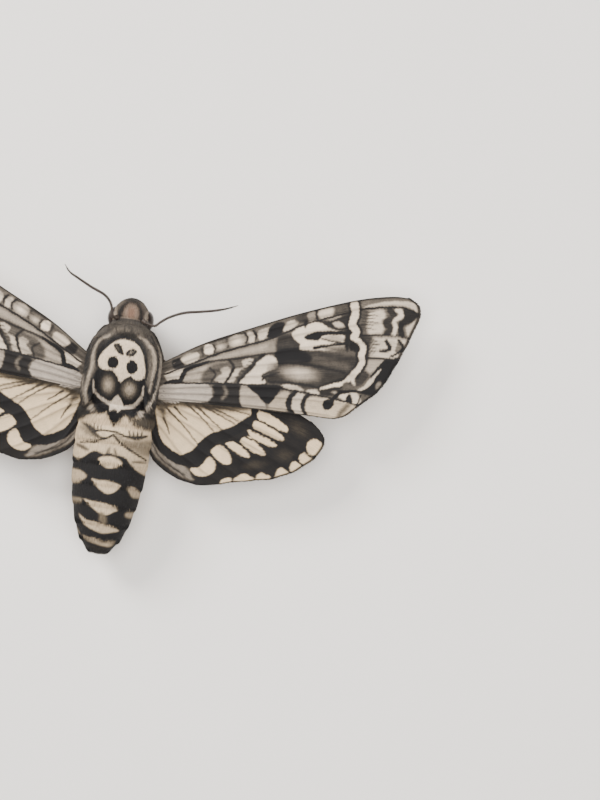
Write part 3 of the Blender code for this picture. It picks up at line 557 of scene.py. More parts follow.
# The furred base, then the black hind part with its pale lenses, and the tip.
ABDOMEN_MARKS = (
    Patch(0.1, "-10,-9 -3.2,-9 -2.9,-10.1 -5.8,-10.9 -8.6,-12 -10,-12.4", soft=0.35),
    Patch(0.26, "2.8,-9 10,-9 10,-12.8 8,-12.3 4.6,-11.5 2.8,-10.5", soft=0.35),
    Stroke(0.62, "-6.2,-8.6 -4.9,-9.7 -3.4,-10.3", (0.6, 0.6, 0.2), soft=0.2),
    Stroke(0.74, "5.9,-8.4 4.8,-9.6 3.6,-10.6", (0.7, 0.7, 0.3), soft=0.2),
    Patch(0.5, "0.8,-14.3 2,-14.5 3.4,-15 10,-14.6 10,-17 7.1,-17.9 4.9,-17.1 3.2,-16.3", soft=0.5),
    Stroke(0.48, "-6.9,-13.7 -5,-14.4 -3.7,-15.3", (0.8, 1.6, 0.6), soft=0.6),
    Patch(0.92, "-8.6,-12.3 -5.8,-11 -2.7,-10.3 -1.5,-10.7 -0.2,-11.9 0.1,-13.3 -0.9,-13.6 -3,-13.8 "
          "-4.2,-13.9 -5.9,-13.1", soft=0.3),
    Patch(0.92, "0,-12.1 1.3,-10.9 2.5,-10.6 4.3,-11.5 8.6,-12.6 8.6,-13.5 4.7,-13.6 3,-13.9 1.5,-13.8 "
          "0.4,-13.4", soft=0.3),
    Patch(0.02, "-1.9,-9.6 -1.5,-10.6 -0.1,-12.2 1.4,-10.8 2,-9.6", soft=0.2),
    Stroke(0.18, "-7.2,-12.5 -5.9,-13 -4.4,-13.9 -2.9,-15.1 -1.5,-15.3", (0.4, 1.3, 0.4), soft=0.35),
    *(Stroke(0.2, tooth, (0.15, 0.3, 0.3), soft=0.14) for tooth in (
        "-5.3,-12.2 -4.8,-13.5", "-4.4,-12.3 -4,-13.6", "-3.6,-12.5 -3.2,-13.7", "-2.7,-12.7 -2.5,-13.7",
        "3.3,-12.9 3.6,-13.9", "4.2,-12.9 4.4,-13.9", "5.1,-12.9 5.2,-13.8", "6,-12.8 6,-13.6")),
    Patch(0.86, "-3.5,-14.2 -1.9,-13.9 0.1,-13.9 -1.1,-14.9 -2.3,-14.9", soft=0.15),
    Stroke(0.05, "-4,-14.1 -2.5,-13.7 -1,-13.6 0.1,-13.6 1.6,-13.9 2.8,-14.3 4.8,-14.2 7.2,-13.6",
           (0.3, 0.4, 0.3), soft=0.12),
    Stroke(0.12, "3.2,-14.3 5.2,-14.3 6.8,-13.8", (0.4, 0.9, 0.4)),
    Stroke(0.06, "-6.7,-16.8 -4,-16.4 -2.6,-15.9 -1,-15.1 0.1,-14.3", (0.2, 0.5, 0.35), soft=0.12),
    Stroke(0.06, "0.3,-14.4 1.9,-15.8 3.9,-16.9 5.9,-17.9 7.6,-18.7", (0.5, 0.45, 0.3), soft=0.14),
    Stroke(0.24, "-7.4,-17.4 -6,-17.8 -4.8,-18.2", (0.4, 0.8, 0.4), soft=0.35),
    Stroke(0.32, "-0.2,-17 -0.6,-18.4", (0.2, 0.5, 0.4)),
    Stroke(0.32, "0.8,-17.2 1.4,-18.5", (0.2, 0.5, 0.4)),
    Stroke(0.3, "4.9,-19.5 6.1,-19.3 7.6,-19.3", (0.3, 0.5, 0.3), soft=0.3),
    Patch(0.03, "-10,-20.8 -7.2,-20.5 -5.7,-20 -4,-18.5 -2.6,-18.2 -1.4,-18.7 0,-18.2 1.4,-18.6 2.4,-18.5 "
          "3.7,-19 4.4,-19.9 5.3,-20.7 6.6,-21.5 8.1,-22.2 10,-22.4 10,-42 -10,-42"),
    Patch(0.86, "-2.4,-19.8 -0.9,-19 1.1,-18.9 2.9,-19.9 2.2,-20.8 0.6,-21.4 -0.7,-21.3"),
    Patch(0.7, "-10,-22.8 -6.8,-22.6 -5.5,-22.8 -4.2,-23.7 -5.1,-24.8 -6.3,-25.5 -10,-25.7", soft=0.3),
    Patch(0.84, "-3.2,-24.1 -1.8,-24.2 0.1,-24.1 3.1,-24.6 2.8,-25.5 1.9,-26.4 0.6,-26.9 -0.7,-26.4 "
          "-2,-25.5", soft=0.22),
    Patch(0.64, "4.5,-25.1 5.4,-24.7 6.4,-24.9 7.8,-26 10,-26.4 10,-27.6 7.1,-27.1 5.9,-27 5,-25.9",
          soft=0.35),
    Patch(0.5, "-10,-28.9 -5.3,-28.5 -4.6,-28.8 -5.2,-29.7 -10,-30.2", soft=0.4),
    Patch(0.82, "-4.3,-28.6 -2.3,-28.8 0.7,-29 3.3,-29.9 2.4,-30.6 1.1,-31.4 -0.3,-31.3 -2,-30.4 "
          "-3.2,-29.6", soft=0.22),
    Stroke(0.36, "0,-31.6 0.7,-32.9", (1.2, 2, 1.4), soft=0.5, warm=0.9),
    Patch(0.58, "4.8,-30.6 5.7,-30.1 10,-30 10,-31.6 5.8,-31.5 5,-31.3", soft=0.4),
    Patch(0.78, "-4.9,-31.9 -3.3,-32.9 -1.5,-33.1 0.6,-33.5 2.6,-33.8 4.1,-34.3 3,-34.9 0.7,-35.4 "
          "-1.3,-35 -3.1,-34.3 -4.1,-33.5"),
    Stroke(0.5, "-5.7,-34.5 -4.9,-35.4 -4.2,-36.2", (0.2, 0.5, 0.3)),
    Patch(0.7, "-3.7,-36.4 -2.2,-36.6 -0.1,-36.9 1.2,-37.2 3.6,-36.8 2.6,-38.1 1.3,-38.2 -0.9,-37.8 "
          "-2.5,-37.4", soft=0.4),
    Stroke(0.1, "-2.4,-38.6 -0.2,-39 2.4,-38.8", (0.8, 1.3, 0.8), soft=0.4),
    Stroke(0.04, "-2.8,-39.2 0,-40.2 2.8,-39.2", (1.2, 1.2, 1.2), soft=0.5),
)
# The pale crown with its russet middle, between dark lines.
HEAD_MARKS = (
    Spot(0.34, "0.1,11.6", (2.6, 3.4), middle=0.74, soft=0.6, rust=0.34),
    Spot(0.6, "0.1,12", (1, 1.1), middle=0.64, soft=0.7, rust=0.66),
    Stroke(0.1, "-0.9,14.3 -2,12.9 -2.5,11 -2.6,9.2", (0.4, 1, 0.7), soft=0.4),
    Stroke(0.1, "0.9,14.3 2,12.9 2.5,11 2.6,9.2", (0.4, 0.8, 0.6), soft=0.4),
    Spot(0.14, "0,15", (1.9, 1), soft=0.5),
    Stroke(0.62, "-3.6,12.6 -3.4,11 -3.5,9.4", (0.5, 0.8, 0.6), soft=0.3),
    Stroke(0.62, "3.6,12.6 3.4,11 3.5,9.4", (0.5, 0.8, 0.6), soft=0.3),
)

HEAD_FRONT = 9.3
HOOD_LEAN = 0.3
WAIST = -9.6
MIDLINE = 9.6
ABDOMEN_START = -6.0
SEGMENT_ENDS = (-11.5, -16, -20.6, -25.2, -29.6, -33.6, -37, -39.8)
EYE_PLACE = (3.35, 10.5, 9.3)
EYE_RADII = (1.6, 2.3, 2.1)
PILE_TONE, PILE_WARMTH = 0.14, 0.25
BELLY_START, BELLY_BAND = -11.5, 4.55


def body_paint(points: np.ndarray, normals: np.ndarray) -> Paint:
    """The paint of the body, head and palps.

    Args:
        points: places on the body, in millimetres.
        normals: which way the skin faces there.

    Returns:
        The paint at those places.
    """
    x, y, z = points.T
    flat = points[:, :2]
    everywhere = slice(None)
    paint = Paint.ground(len(points), PILE_TONE, PILE_WARMTH)
    thorax = Paint.ground(len(points), PILE_TONE, PILE_WARMTH).lay(flat, THORAX_MARKS)
    abdomen = Paint.ground(len(points), 0.80, 0.75).lay(flat, ABDOMEN_MARKS)
    head = Paint.ground(len(points), 0.34, 0.3, 0.1).lay(flat, HEAD_MARKS)
    palps = smooth_step(8.4, 7.2, z) * smooth_step(10.4, 11.2, y)
    head.blend(everywhere, palps, 0.42, 0.4, 0.45)
    head.blend(everywhere, palps * smooth_step(6.6, 5.8, z), 0.80, 0.5, 0.1)
    head.blend(everywhere, smooth_step(0.45, 0.15, np.abs(x)) * palps, 0.08, 0.4, 0.2)
    under = smooth_step(0.1, -0.45, normals[:, 2])
    thorax.blend(everywhere, under, 0.34, 0.55, 0.2)
    bands = 0.5 + 0.5 * np.cos(math.tau * (y - BELLY_START) / BELLY_BAND)
    abdomen.blend(everywhere, under, 0.66 - 0.34 * smooth_step(0.72, 0.98, bands), 0.7)
    behind = smooth_step(WAIST + 0.25, WAIST - 0.25, y)
    before = smooth_step(HEAD_FRONT - 0.2, HEAD_FRONT + 0.2, y - HOOD_LEAN * (z - MIDLINE))
    for part, share in ((thorax, 1.0), (abdomen, behind), (head, before)):
        paint.blend(everywhere, share, part.tone, part.warm, part.rust)
    return paint


def math_node(operation: str, reflected: bool = False) -> Callable[["Wire", "Wire | float"], "Wire"]:
    """An operator of Wire.

    Args:
        operation: what its Math node does.
        reflected: whether the wire comes second.

    Returns:
        The operator's method.
    """

    def method(self: "Wire", other: "Wire | float") -> "Wire":
        """The result of the operation."""
        one, two = (other, self) if reflected else (self, other)
        return self.sheet.node("ShaderNodeMath", {"operation": operation}, {0: one, 1: two})

    return method


class Wire:
    """A socket of a shader; arithmetic on it adds the Math nodes that work the result out."""

    def __init__(self, sheet: "ShaderSheet", socket: bpy.types.NodeSocket) -> None:
        """Keeps the sheet of nodes and the socket."""
        self.sheet = sheet
        self.socket = socket

    __add__, __radd__ = math_node("ADD"), math_node("ADD", True)
    __sub__, __rsub__ = math_node("SUBTRACT"), math_node("SUBTRACT", True)
    __mul__, __rmul__ = math_node("MULTIPLY"), math_node("MULTIPLY", True)
    __pow__ = math_node("POWER")


class ShaderSheet:
    """The node tree of one material, with a Principled shader at its end."""

    def __init__(self, name: str, **constants: object) -> None:
        """Makes the material.

        Args:
            name: the material's name.
            constants: sockets of the shader that are the same all over, with _ for a space.
        """
        self.material = bpy.data.materials.new(name)
        self.material.use_nodes = True
        self.tree = self.material.node_tree
        self.shader = next(n for n in self.tree.nodes if n.type == "BSDF_PRINCIPLED")
        for key, value in constants.items():
            self.shader.inputs[key.replace("_", " ").title().replace("Ior", "IOR")].default_value = value

    def node(self, kind: str, settings: dict | None = None, sockets: dict | None = None,
             out: int | str = 0) -> Wire:
        """Adds a node.

        Args:
            kind: its type.
            settings: its own settings, set first.
            sockets: values or wires for its inputs, by name or number.
            out: the output that is wanted.

        Returns:
            That output.
        """
        made = self.tree.nodes.new(kind)
        for key, value in (settings or {}).items():
            setattr(made, key, value)
        for key, value in (sockets or {}).items():
            if isinstance(value, Wire):
                self.tree.links.new(value.socket, made.inputs[key])
            else:
                made.inputs[key].default_value = value
        return Wire(self, made.outputs[out])

    def set(self, name: str, value: Wire) -> None:
        """Feeds a socket of the shader."""
        self.tree.links.new(value.socket, self.shader.inputs[name])

    def place(self, scale: Point = (1000.0,) * 3, where: Wire | None = None) -> Wire:
        """Places times a scale: Object coordinates in millimetres, where nothing else is given."""
        where = where or self.node("ShaderNodeTexCoord", out="Object")
        return self.node("ShaderNodeVectorMath", {"operation": "MULTIPLY"}, {0: where, 1: scale})

    def along_wing(self, scale: Point) -> Wire:
        """Places along and across a wing times a scale."""
        return self.place(scale, self.node("ShaderNodeUVMap", {"uv_map": "UVMap"}))

    def noise(self, where: Wire, scale: float, detail: float = 2.0) -> Wire:
        """Noise from 0 to 1."""
        return self.node("ShaderNodeTexNoise", {}, {"Vector": where, "Scale": scale, "Detail": detail})

    def cells(self, scale: float) -> Wire:
        """Distance from the middle of each cell of an even scatter."""
        sockets = {"Vector": self.place(), "Scale": scale}
        return self.node("ShaderNodeTexVoronoi", {"feature": "F1"}, sockets, "Distance")

    def clamp(self, value: Wire) -> Wire:
        """The value kept between 0 and 1."""
        return self.node("ShaderNodeClamp", {}, {"Value": value, "Min": 0.0, "Max": 1.0})

    def mix(self, share: Wire, one: Wire | Colour, other: Wire | Colour) -> Wire:
        """Two colours mixed by a share."""
        rows = [c if isinstance(c, Wire) else (*c, 1.0) for c in (one, other)]
        return self.node("ShaderNodeMix", {"data_type": "RGBA"}, {0: share, 6: rows[0], 7: rows[1]}, 2)

    def kept(self, name: str, out: str) -> Wire:
        """What a mesh keeps under a name."""
        return self.node("ShaderNodeAttribute", {"attribute_name": name}, out=out)

    def marks(self) -> tuple[Wire, Wire, Wire, Wire]:
        """Tone, warmth, place along a hair, and russet, as a mesh keeps them."""
        kept = self.kept("marks", "Color")
        parts = [self.node("ShaderNodeSeparateColor", {}, {0: kept}, k) for k in range(3)]
        return (*parts, self.kept("marks", "Alpha"))

    def bump(self, height: Wire, strength: float, distance: float) -> None:
        """Raises the surface by a height, over a distance in metres."""
        sockets = {"Strength": strength, "Distance": distance, "Height": height}
        self.set("Normal", self.node("ShaderNodeBump", {}, sockets))


@dataclass(frozen=True)
class Pigments:
    """The scale colours that the moth is painted with."""

    black: Colour = srgb(17, 15, 15)
    cream: Colour = srgb(224, 208, 190)
    straw: Colour = srgb(228, 198, 154)
    russet: Colour = srgb(168, 104, 72)

    def scales(self, sheet: ShaderSheet, tone: Wire, warm: Wire, rust: Wire) -> Wire:
        """The colour of scales of a tone.

        Args:
            sheet: the material's nodes.
            tone: 0 for black to 1 for pale.
            warm, rust: which pale it is.

        Returns:
            The colour.
        """
        pale = sheet.mix(rust, sheet.mix(warm, self.cream, self.straw), self.russet)
        return sheet.mix(sheet.clamp(tone) ** 1.9, self.black, pale)


@dataclass(frozen=True)
class Finish:
    """The look of some pieces, under the name of their material."""

    name: str

    def material(self) -> bpy.types.Material:
        """Its material."""
        raise NotImplementedError


@dataclass(frozen=True)
class WingFinish(Finish):
    """Matt scales on a wing, streaked along its rays."""

    pigments: Pigments = Pigments()
    dust: float = 0.26
    streaks: float = 0.30

    def material(self) -> bpy.types.Material:
        """The wing's material."""
        sheet = ShaderSheet(self.name, roughness=0.7, sheen_weight=0.03, sheen_roughness=0.4,
                            specular_ior_level=0.2)
        tone, warm, _, rust = sheet.marks()
        dust = sheet.noise(sheet.place(), 7.0, 1.0)
        streak = sheet.noise(sheet.along_wing((14.0, 230.0, 1.0)), 1.0, 2.0)
        cloud = sheet.noise(sheet.place(), 0.9, 2.0)
        powder = (dust - 0.5) * self.dust + (streak - 0.5) * self.streaks + (cloud - 0.5) * 0.14
        room = 0.2 + 0.3 * tone + 2.8 * tone * (1.0 - tone)
        sheet.set("Base Color", self.pigments.scales(sheet, tone + powder * room, warm, rust))
        sheet.set("Roughness", 0.6 + dust * 0.3)
        sheet.bump(dust * 0.5 + streak * 0.8 + sheet.cells(5.0) * 0.3, 0.5, 0.00012)
        return sheet.material


@dataclass(frozen=True)
class HairFinish(Finish):
    """Hairs and tufts, with painted shade that darkens each towards its root, each a little lighter or
    darker than the next.
    """

    pigments: Pigments = Pigments()
    root_shade: float = 0.45

    def material(self) -> bpy.types.Material:
        """The coat's material."""
        sheet = ShaderSheet(self.name, roughness=0.62, sheen_weight=0.05, sheen_roughness=0.35,
                            specular_ior_level=0.25)
        tone, warm, along, rust = sheet.marks()
        chance = sheet.kept("chance", "Fac")
        colour = self.pigments.scales(sheet, tone + (chance - 0.5) * (0.10 + 0.22 * tone), warm, rust)
        # painted shade: each tuft is mixed towards a near-black colour, by more than half at its root and
        # not at all at its tip
        shade = sheet.clamp(self.root_shade + along * (1.0 - self.root_shade))
        root = tuple(0.25 * c for c in self.pigments.black)
        sheet.set("Base Color", sheet.mix(1.0 - shade, colour, root))
        sheet.set("Roughness", 0.55 + chance * 0.2)
        return sheet.material


@dataclass(frozen=True)
class SkinFinish(Finish):
    """The skin under the coat, with the same marks, darker and with hair roots as bump."""

    pigments: Pigments = Pigments()

    def material(self) -> bpy.types.Material:
        """The skin's material."""
        sheet = ShaderSheet(self.name, roughness=0.8, specular_ior_level=0.25)
        tone, warm, _, rust = sheet.marks()
        strands = sheet.noise(sheet.place((3200.0, 700.0, 3200.0)), 1.0, 3.0)
        shifted = tone * 0.92 + (strands - 0.5) * (0.1 + 0.4 * tone)
        sheet.set("Base Color", self.pigments.scales(sheet, shifted, warm, rust))
        sheet.set("Roughness", 0.7 + strands * 0.2)
        sheet.bump(strands, 0.7, 0.0003)
        return sheet.material


@dataclass(frozen=True)
class HornFinish(Finish):
    """Bare horn of a feeler, a leg or a tongue, with pale rings where the marks have them."""

    dark: Colour
    pale: Colour
    gloss: float = 0.5

    def material(self) -> bpy.types.Material:
        """The horn's material."""
        sheet = ShaderSheet(self.name, roughness=self.gloss, specular_ior_level=0.25)
        tone = sheet.marks()[0]
        grain = sheet.noise(sheet.place(), 4.0, 3.0)
        fine = sheet.cells(9.0)
        sheet.set("Base Color", sheet.mix(sheet.clamp(tone + (grain - 0.5) * 0.25), self.dark, self.pale))
        sheet.set("Roughness", self.gloss + (grain - 0.5) * 0.25)
        sheet.bump(grain + fine * 0.5, 0.4, 0.00006)
        return sheet.material


@dataclass(frozen=True)
class EyeFinish(Finish):
    """A compound eye: dark, glossy and finely faceted, with a paler bloom in soft patches."""

    dark: Colour = srgb(20, 14, 12)
    bloom: Colour = srgb(50, 38, 31)

    def material(self) -> bpy.types.Material:
        """The eye's material."""
        sheet = ShaderSheet(self.name, roughness=0.28, coat_weight=0.12, coat_roughness=0.1,
                            specular_ior_level=0.25)
        facets = sheet.cells(9.5)
        patches = sheet.noise(sheet.place(), 0.8, 2.0)
        sheet.set("Base Color", sheet.mix(sheet.clamp(patches * 1.6 - 0.55), self.dark, self.bloom))
        sheet.set("Roughness", 0.24 + patches * 0.1)
        sheet.bump(1.0 - facets, 0.3, 0.00003)
        return sheet.material


class Bench:
    """What every piece goes through between its making and the finished model."""

    def __init__(self) -> None:
        """Starts with no pieces and no materials."""
        self.materials: dict[str, bpy.types.Material] = {}
        self.triangles = 0

    def hand_over(self, obj: bpy.types.Object, finish: Finish, slot: str, *nodes: str) -> None:
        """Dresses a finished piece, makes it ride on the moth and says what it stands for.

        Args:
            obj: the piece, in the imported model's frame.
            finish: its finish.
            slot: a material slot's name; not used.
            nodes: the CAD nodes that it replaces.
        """
        if finish.name not in self.materials:
            self.materials[finish.name] = finish.material()
        obj.data.materials.clear()
        obj.data.materials.append(self.materials[finish.name])
        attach(obj, "root")
        if nodes:
            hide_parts(*nodes)
        count = sum(len(p.vertices) - 2 for p in obj.data.polygons)
        self.triangles += count
        LOG.info("%s: %d triangles, for %s", obj.name, count, ", ".join(nodes) or "no node")


def select(*pieces: bpy.types.Object) -> None:
    """Selects those pieces alone and makes the first of them the active one."""
    bpy.ops.object.select_all(action="DESELECT")
    for piece in pieces:
        piece.select_set(True)
    if pieces:
        bpy.context.view_layer.objects.active = pieces[0]


def add(operator: Callable, name: str, **settings: object) -> bpy.types.Object:
    """Adds an object with one of Blender's operators.

    Args:
        operator: what adds it.
        name: the object's name.
        settings: what the operator is given.

    Returns:
        The object, alone in the selection.
    """
    select()
    operator(**settings)
    made = bpy.context.object
    made.name = made.data.name = name
    return made


def edit_all(operator: Callable, **settings: object) -> None:
    """Runs an operator of edit mode on the whole of the active mesh."""
    bpy.ops.object.mode_set(mode="EDIT")
    bpy.ops.mesh.select_all(action="SELECT")
    operator(**settings)
    bpy.ops.object.mode_set(mode="OBJECT")


def face_outwards() -> None:
    """Turns the faces of the active mesh outwards and shades them smooth."""
    edit_all(bpy.ops.mesh.normals_make_consistent, inside=False)
    bpy.ops.object.shade_smooth()


def to_row_frame(points: np.ndarray) -> np.ndarray:
    """Places in the moth's own frame, in millimetres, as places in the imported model's frame."""
    return (points + np.array((0.0, SHIFT, 0.0))) * MM


def read_points(obj: bpy.types.Object) -> np.ndarray:
    """The vertices of a mesh, in rows."""
    flat = np.empty(3 * len(obj.data.vertices), np.float32)
    obj.data.vertices.foreach_get("co", flat)
    return flat.reshape(-1, 3).astype(float)


def write_points(obj: bpy.types.Object, points: np.ndarray) -> None:
    """Moves the vertices of a mesh."""
    obj.data.vertices.foreach_set("co", points.astype(np.float32).ravel())
    obj.data.update()


def keep_marks(obj: bpy.types.Object, rows: np.ndarray, chance: np.ndarray | None = None) -> None:
    """Stores the paint of each vertex, and its tuft's own lightness where it has one."""
    layer = obj.data.color_attributes.new("marks", "FLOAT_COLOR", "POINT")
    layer.data.foreach_set("color", rows.astype(np.float32).ravel())
    if chance is not None:
        own = obj.data.attributes.new("chance", "FLOAT", "POINT")
        own.data.foreach_set("value", chance.astype(np.float32))


def keep_map(obj: bpy.types.Object, flat: np.ndarray, name: str = "OFBake") -> None:
    """Stores a flat map under a name, OFBake where no other is given."""
    corners = np.empty(len(obj.data.loops), np.int32)
    obj.data.loops.foreach_get("vertex_index", corners)
    layer = obj.data.uv_layers.get(name) or obj.data.uv_layers.new(name=name)
    layer.data.foreach_set("uv", flat[corners].astype(np.float32).ravel())


def new_mesh(name: str, points: np.ndarray, faces: Sequence[Sequence[int]]) -> bpy.types.Object:
    """A mesh object at the origin, from points in the moth's own frame.

    Args:
        name: the piece's name.
        points: its vertices, in millimetres.
        faces: its faces, each a row of vertex numbers.

    Returns:
        The object.
    """
    mesh = bpy.data.meshes.new(name)
    mesh.from_pydata(to_row_frame(points), [], faces)
    mesh.validate()
    obj = bpy.data.objects.new(name, mesh)
    bpy.context.scene.collection.objects.link(obj)
    return obj


@dataclass
class Tufts:
    """Many closed, tapered tufts, each of ten triangles, made as one mesh.

    Attributes:
        roots: where they grow, in millimetres.
        ways: which way each lies.
        ups: which way its skin faces.
        lengths, widths: their sizes.
        bends: how far the outer half turns down, as a share.
        paint: their paint.
        chance: how light each is for its paint, from 0 to 1.
        unwrapped: the places of their roots on the flat map, each from 0 to 1.
        thickness: their height, as a share of their width.
    """

    roots: np.ndarray
    ways: np.ndarray
    ups: np.ndarray
    lengths: np.ndarray
    widths: np.ndarray | float
    bends: np.ndarray | float
    paint: Paint
    chance: np.ndarray
    unwrapped: np.ndarray
    thickness: float = 0.45

    CORNERS = np.array(((0, 1, 2), (0, 3, 4), (0, 4, 1), (1, 4, 5), (1, 5, 2), (2, 5, 3), (2, 3, 0),
                        (3, 6, 4), (4, 6, 5), (5, 6, 3)))
    ALONG = (0.0, 0.0, 0.15, 0.6, 0.6, 0.75, 1.0)
    SPREAD = np.array(((-1, -1), (1, -1), (0, -0.7), (-1, 0), (1, 0), (0, 0.2), (0, 1))) * PATCH / 2
    MAP_RIM = 0.02
    UPPER_RING = 0.8

    def points(self) -> np.ndarray:
        """The seven vertices of every tuft: two rings of three and the tip."""
        way = unit(self.ways)
        side = unit(np.cross(way, self.ups))
        up = np.cross(side, way)
        half = self.lengths[:, None] * 0.5
        wide, bend = (np.full(len(way), size)[:, None] for size in (self.widths / 2, self.bends))
        middle = self.roots + way * half
        tip = middle + unit(way - up * bend) * half
        high = wide * 2 * self.thickness
        across, over, shrink = side * wide, up * high, self.UPPER_RING
        rings = [self.roots - across, self.roots + across, self.roots + over,
                 middle - across * shrink, middle + across * shrink, middle + over * shrink, tip]
        return np.stack(rings, 1)

    def build(self, name: str) -> bpy.types.Object:
        """Makes the mesh with its paint and its flat map.

        Args:
            name: the piece's name.

        Returns:
            The object.
        """
        count, size = len(self.roots), len(self.ALONG)
        faces = (self.CORNERS[None] + size * np.arange(count)[:, None, None]).reshape(-1, 3)
        obj = new_mesh(name, self.points().reshape(-1, 3), faces.tolist())
        rows = np.repeat(self.paint.colours(), size, axis=0)
        rows[:, 2] = np.tile(self.ALONG, count)
        keep_marks(obj, rows, np.repeat(self.chance, size))
        flat = self.MAP_RIM + (1 - 2 * self.MAP_RIM) * self.unwrapped
        keep_map(obj, (flat[:, None, :] + self.SPREAD[None]).reshape(-1, 2))
        return obj

    def hand_over(self, name: str, slot: str, bench: Bench) -> None:
        """Makes the tufts and hands them over."""
        bench.hand_over(self.build(name), HairFinish("pile"), slot)


@dataclass
class Skin:
    """The one skin of head, palps, thorax, flaps and abdomen, under the coat.

    Attributes:
        grain: the size of its faces.
        forms: for each swollen form its middle, its radii and its turns about X, Y and Z in degrees; one
            that lies off the middle has its mirror image on the other side.
        abdomen_widths: pairs of Y and the abdomen's half width.
        coat_depth: how far the skin lies inside the solids.
    """

    grain: float = 0.32
    forms: tuple[tuple[Point, Point, Point], ...] = (
        ((0, 0, 10.5), (8.35, 10.3, 7), (0, 0, 0)),
        ((0, 5, 11), (6.7, 5.1, 5.4), (0, 0, 0)),
        ((0, 7.4, 12.6), (4.4, 2, 3.9), (0, 0, 0)),
        ((0, 9.9, 9.8), (4.1, 5.1, 3.85), (0, 0, 0)),
        ((0, 11.3, 9), (3.1, 3.3, 2.9), (0, 0, 0)),
        ((1.65, 11, 6.5), (1.1, 2, 1.25), (18, 0, 0)),
        ((1.5, 13.1, 7.5), (1.05, 1.6, 1.2), (48, 0, 0)),
        ((6.2, -1.2, 14.7), (1.8, 7.2, 1.3), (0, 36, 7)),
    )
    abdomen_widths: str = (
        "-40.4,0.3 -40.2,1.1 -39.8,2 -39.2,2.8 -37,4.6 -34,5.9 -30.3,6.95 -26.5,7.7 -22,8.2 -18,8.4 "
        "-14,8.4 -10,8 -6,6.8")
    coat_depth: float = 0.28

    def abdomen_ring(self, y: np.ndarray) -> tuple[np.ndarray, np.ndarray]:
        """The abdomen's half width under the coat and its height, at places along it."""
        half = np.interp(y, *places(self.abdomen_widths).T)
        edges = np.array((ABDOMEN_START, *SEGMENT_ENDS))[::-1]
        within = np.zeros(len(y))
        for low, high in zip(edges, edges[1:]):
            here = (y >= low) & (y < high)
            within[here] = (high - y[here]) / (high - low)
        step = 0.22 * (smooth_step(0.0, 0.85, within) - smooth_step(0.9, 1.0, within)) - 0.16
        return np.maximum(half - self.coat_depth + step, 0.05), 9.7 + 0.085 * (y - ABDOMEN_START)

    def make_ball(self, middle: Point, radii: Point, turns: Point) -> bpy.types.Object:
        """One swollen form, from a ball that is resized, turned and placed."""
        ball = add(bpy.ops.mesh.primitive_uv_sphere_add, "form", segments=48, ring_count=32, radius=1.0)
        about_x, about_y, about_z = (Matrix.Rotation(math.radians(t), 4, a) for t, a in zip(turns, "XYZ"))
        turn = about_y @ about_z @ about_x
        ball.data.transform(Matrix.Translation(Vector(middle)) @ turn @ Matrix.Diagonal((*radii, 1.0)))
        return ball

    def make_abdomen(self) -> bpy.types.Object:
        """The abdomen, from a ball whose rings are set along it."""
        ball = add(bpy.ops.mesh.primitive_uv_sphere_add, "form", segments=96, ring_count=200, radius=1.0)
        points = read_points(ball)
        share = np.arccos(np.clip(points[:, 2], -1, 1)) / math.pi
        y = ABDOMEN_START + (ABDOMEN_END + 0.35 - ABDOMEN_START) * share
        half, height = self.abdomen_ring(y)
        around = unit(points[:, :2] + 1e-12)
        round_off = np.sqrt(np.clip(share * 12, 0, 1)) * np.clip((1 - share) * 60, 0, 1)
        moved = np.stack([around[:, 0] * half * round_off, y,
                          height + around[:, 1] * (half * 0.86) * round_off], 1)
        write_points(ball, moved)
        return ball

    def make(self, bench: Bench) -> bpy.types.Object:
        """Joins the forms into one skin and paints it.

        Args:
            bench: where the skin is handed over.

        Returns:
            The skin, still to be read by the coats.
        """
        parts = []
        for (x, y, z), radii, (about_x, about_y, about_z) in self.forms:
            for side in (-1, 1) if x else (1,):
                turns = (about_x, side * about_y, side * about_z)
                parts.append(self.make_ball((side * x, y, z), radii, turns))
        select(*parts, self.make_abdomen())
        bpy.ops.object.join()
        skin = bpy.context.object
        skin.name = skin.data.name = "body_skin"
        remesh = skin.modifiers.new("one skin", "REMESH")
        remesh.mode = "VOXEL"
        remesh.voxel_size = self.grain
        bpy.ops.object.modifier_apply(modifier=remesh.name)
        soften = skin.modifiers.new("soften", "SMOOTH")
        soften.factor = 0.5
        soften.iterations = 6
        bpy.ops.object.modifier_apply(modifier=soften.name)
        points = read_points(skin)
        normals = np.empty(3 * len(points), np.float32)
        skin.data.vertices.foreach_get("normal", normals)
        paint = body_paint(points, normals.reshape(-1, 3).astype(float))
        keep_marks(skin, paint.colours())
        write_points(skin, to_row_frame(points))
        bpy.ops.object.shade_smooth()
        bench.hand_over(skin, SkinFinish("skin under the pile"), "thorax_pile", "thorax", "collar",
                        "tegula_left", "tegula_right", "head", "palp_left", "palp_right", "abdomen")
        return skin


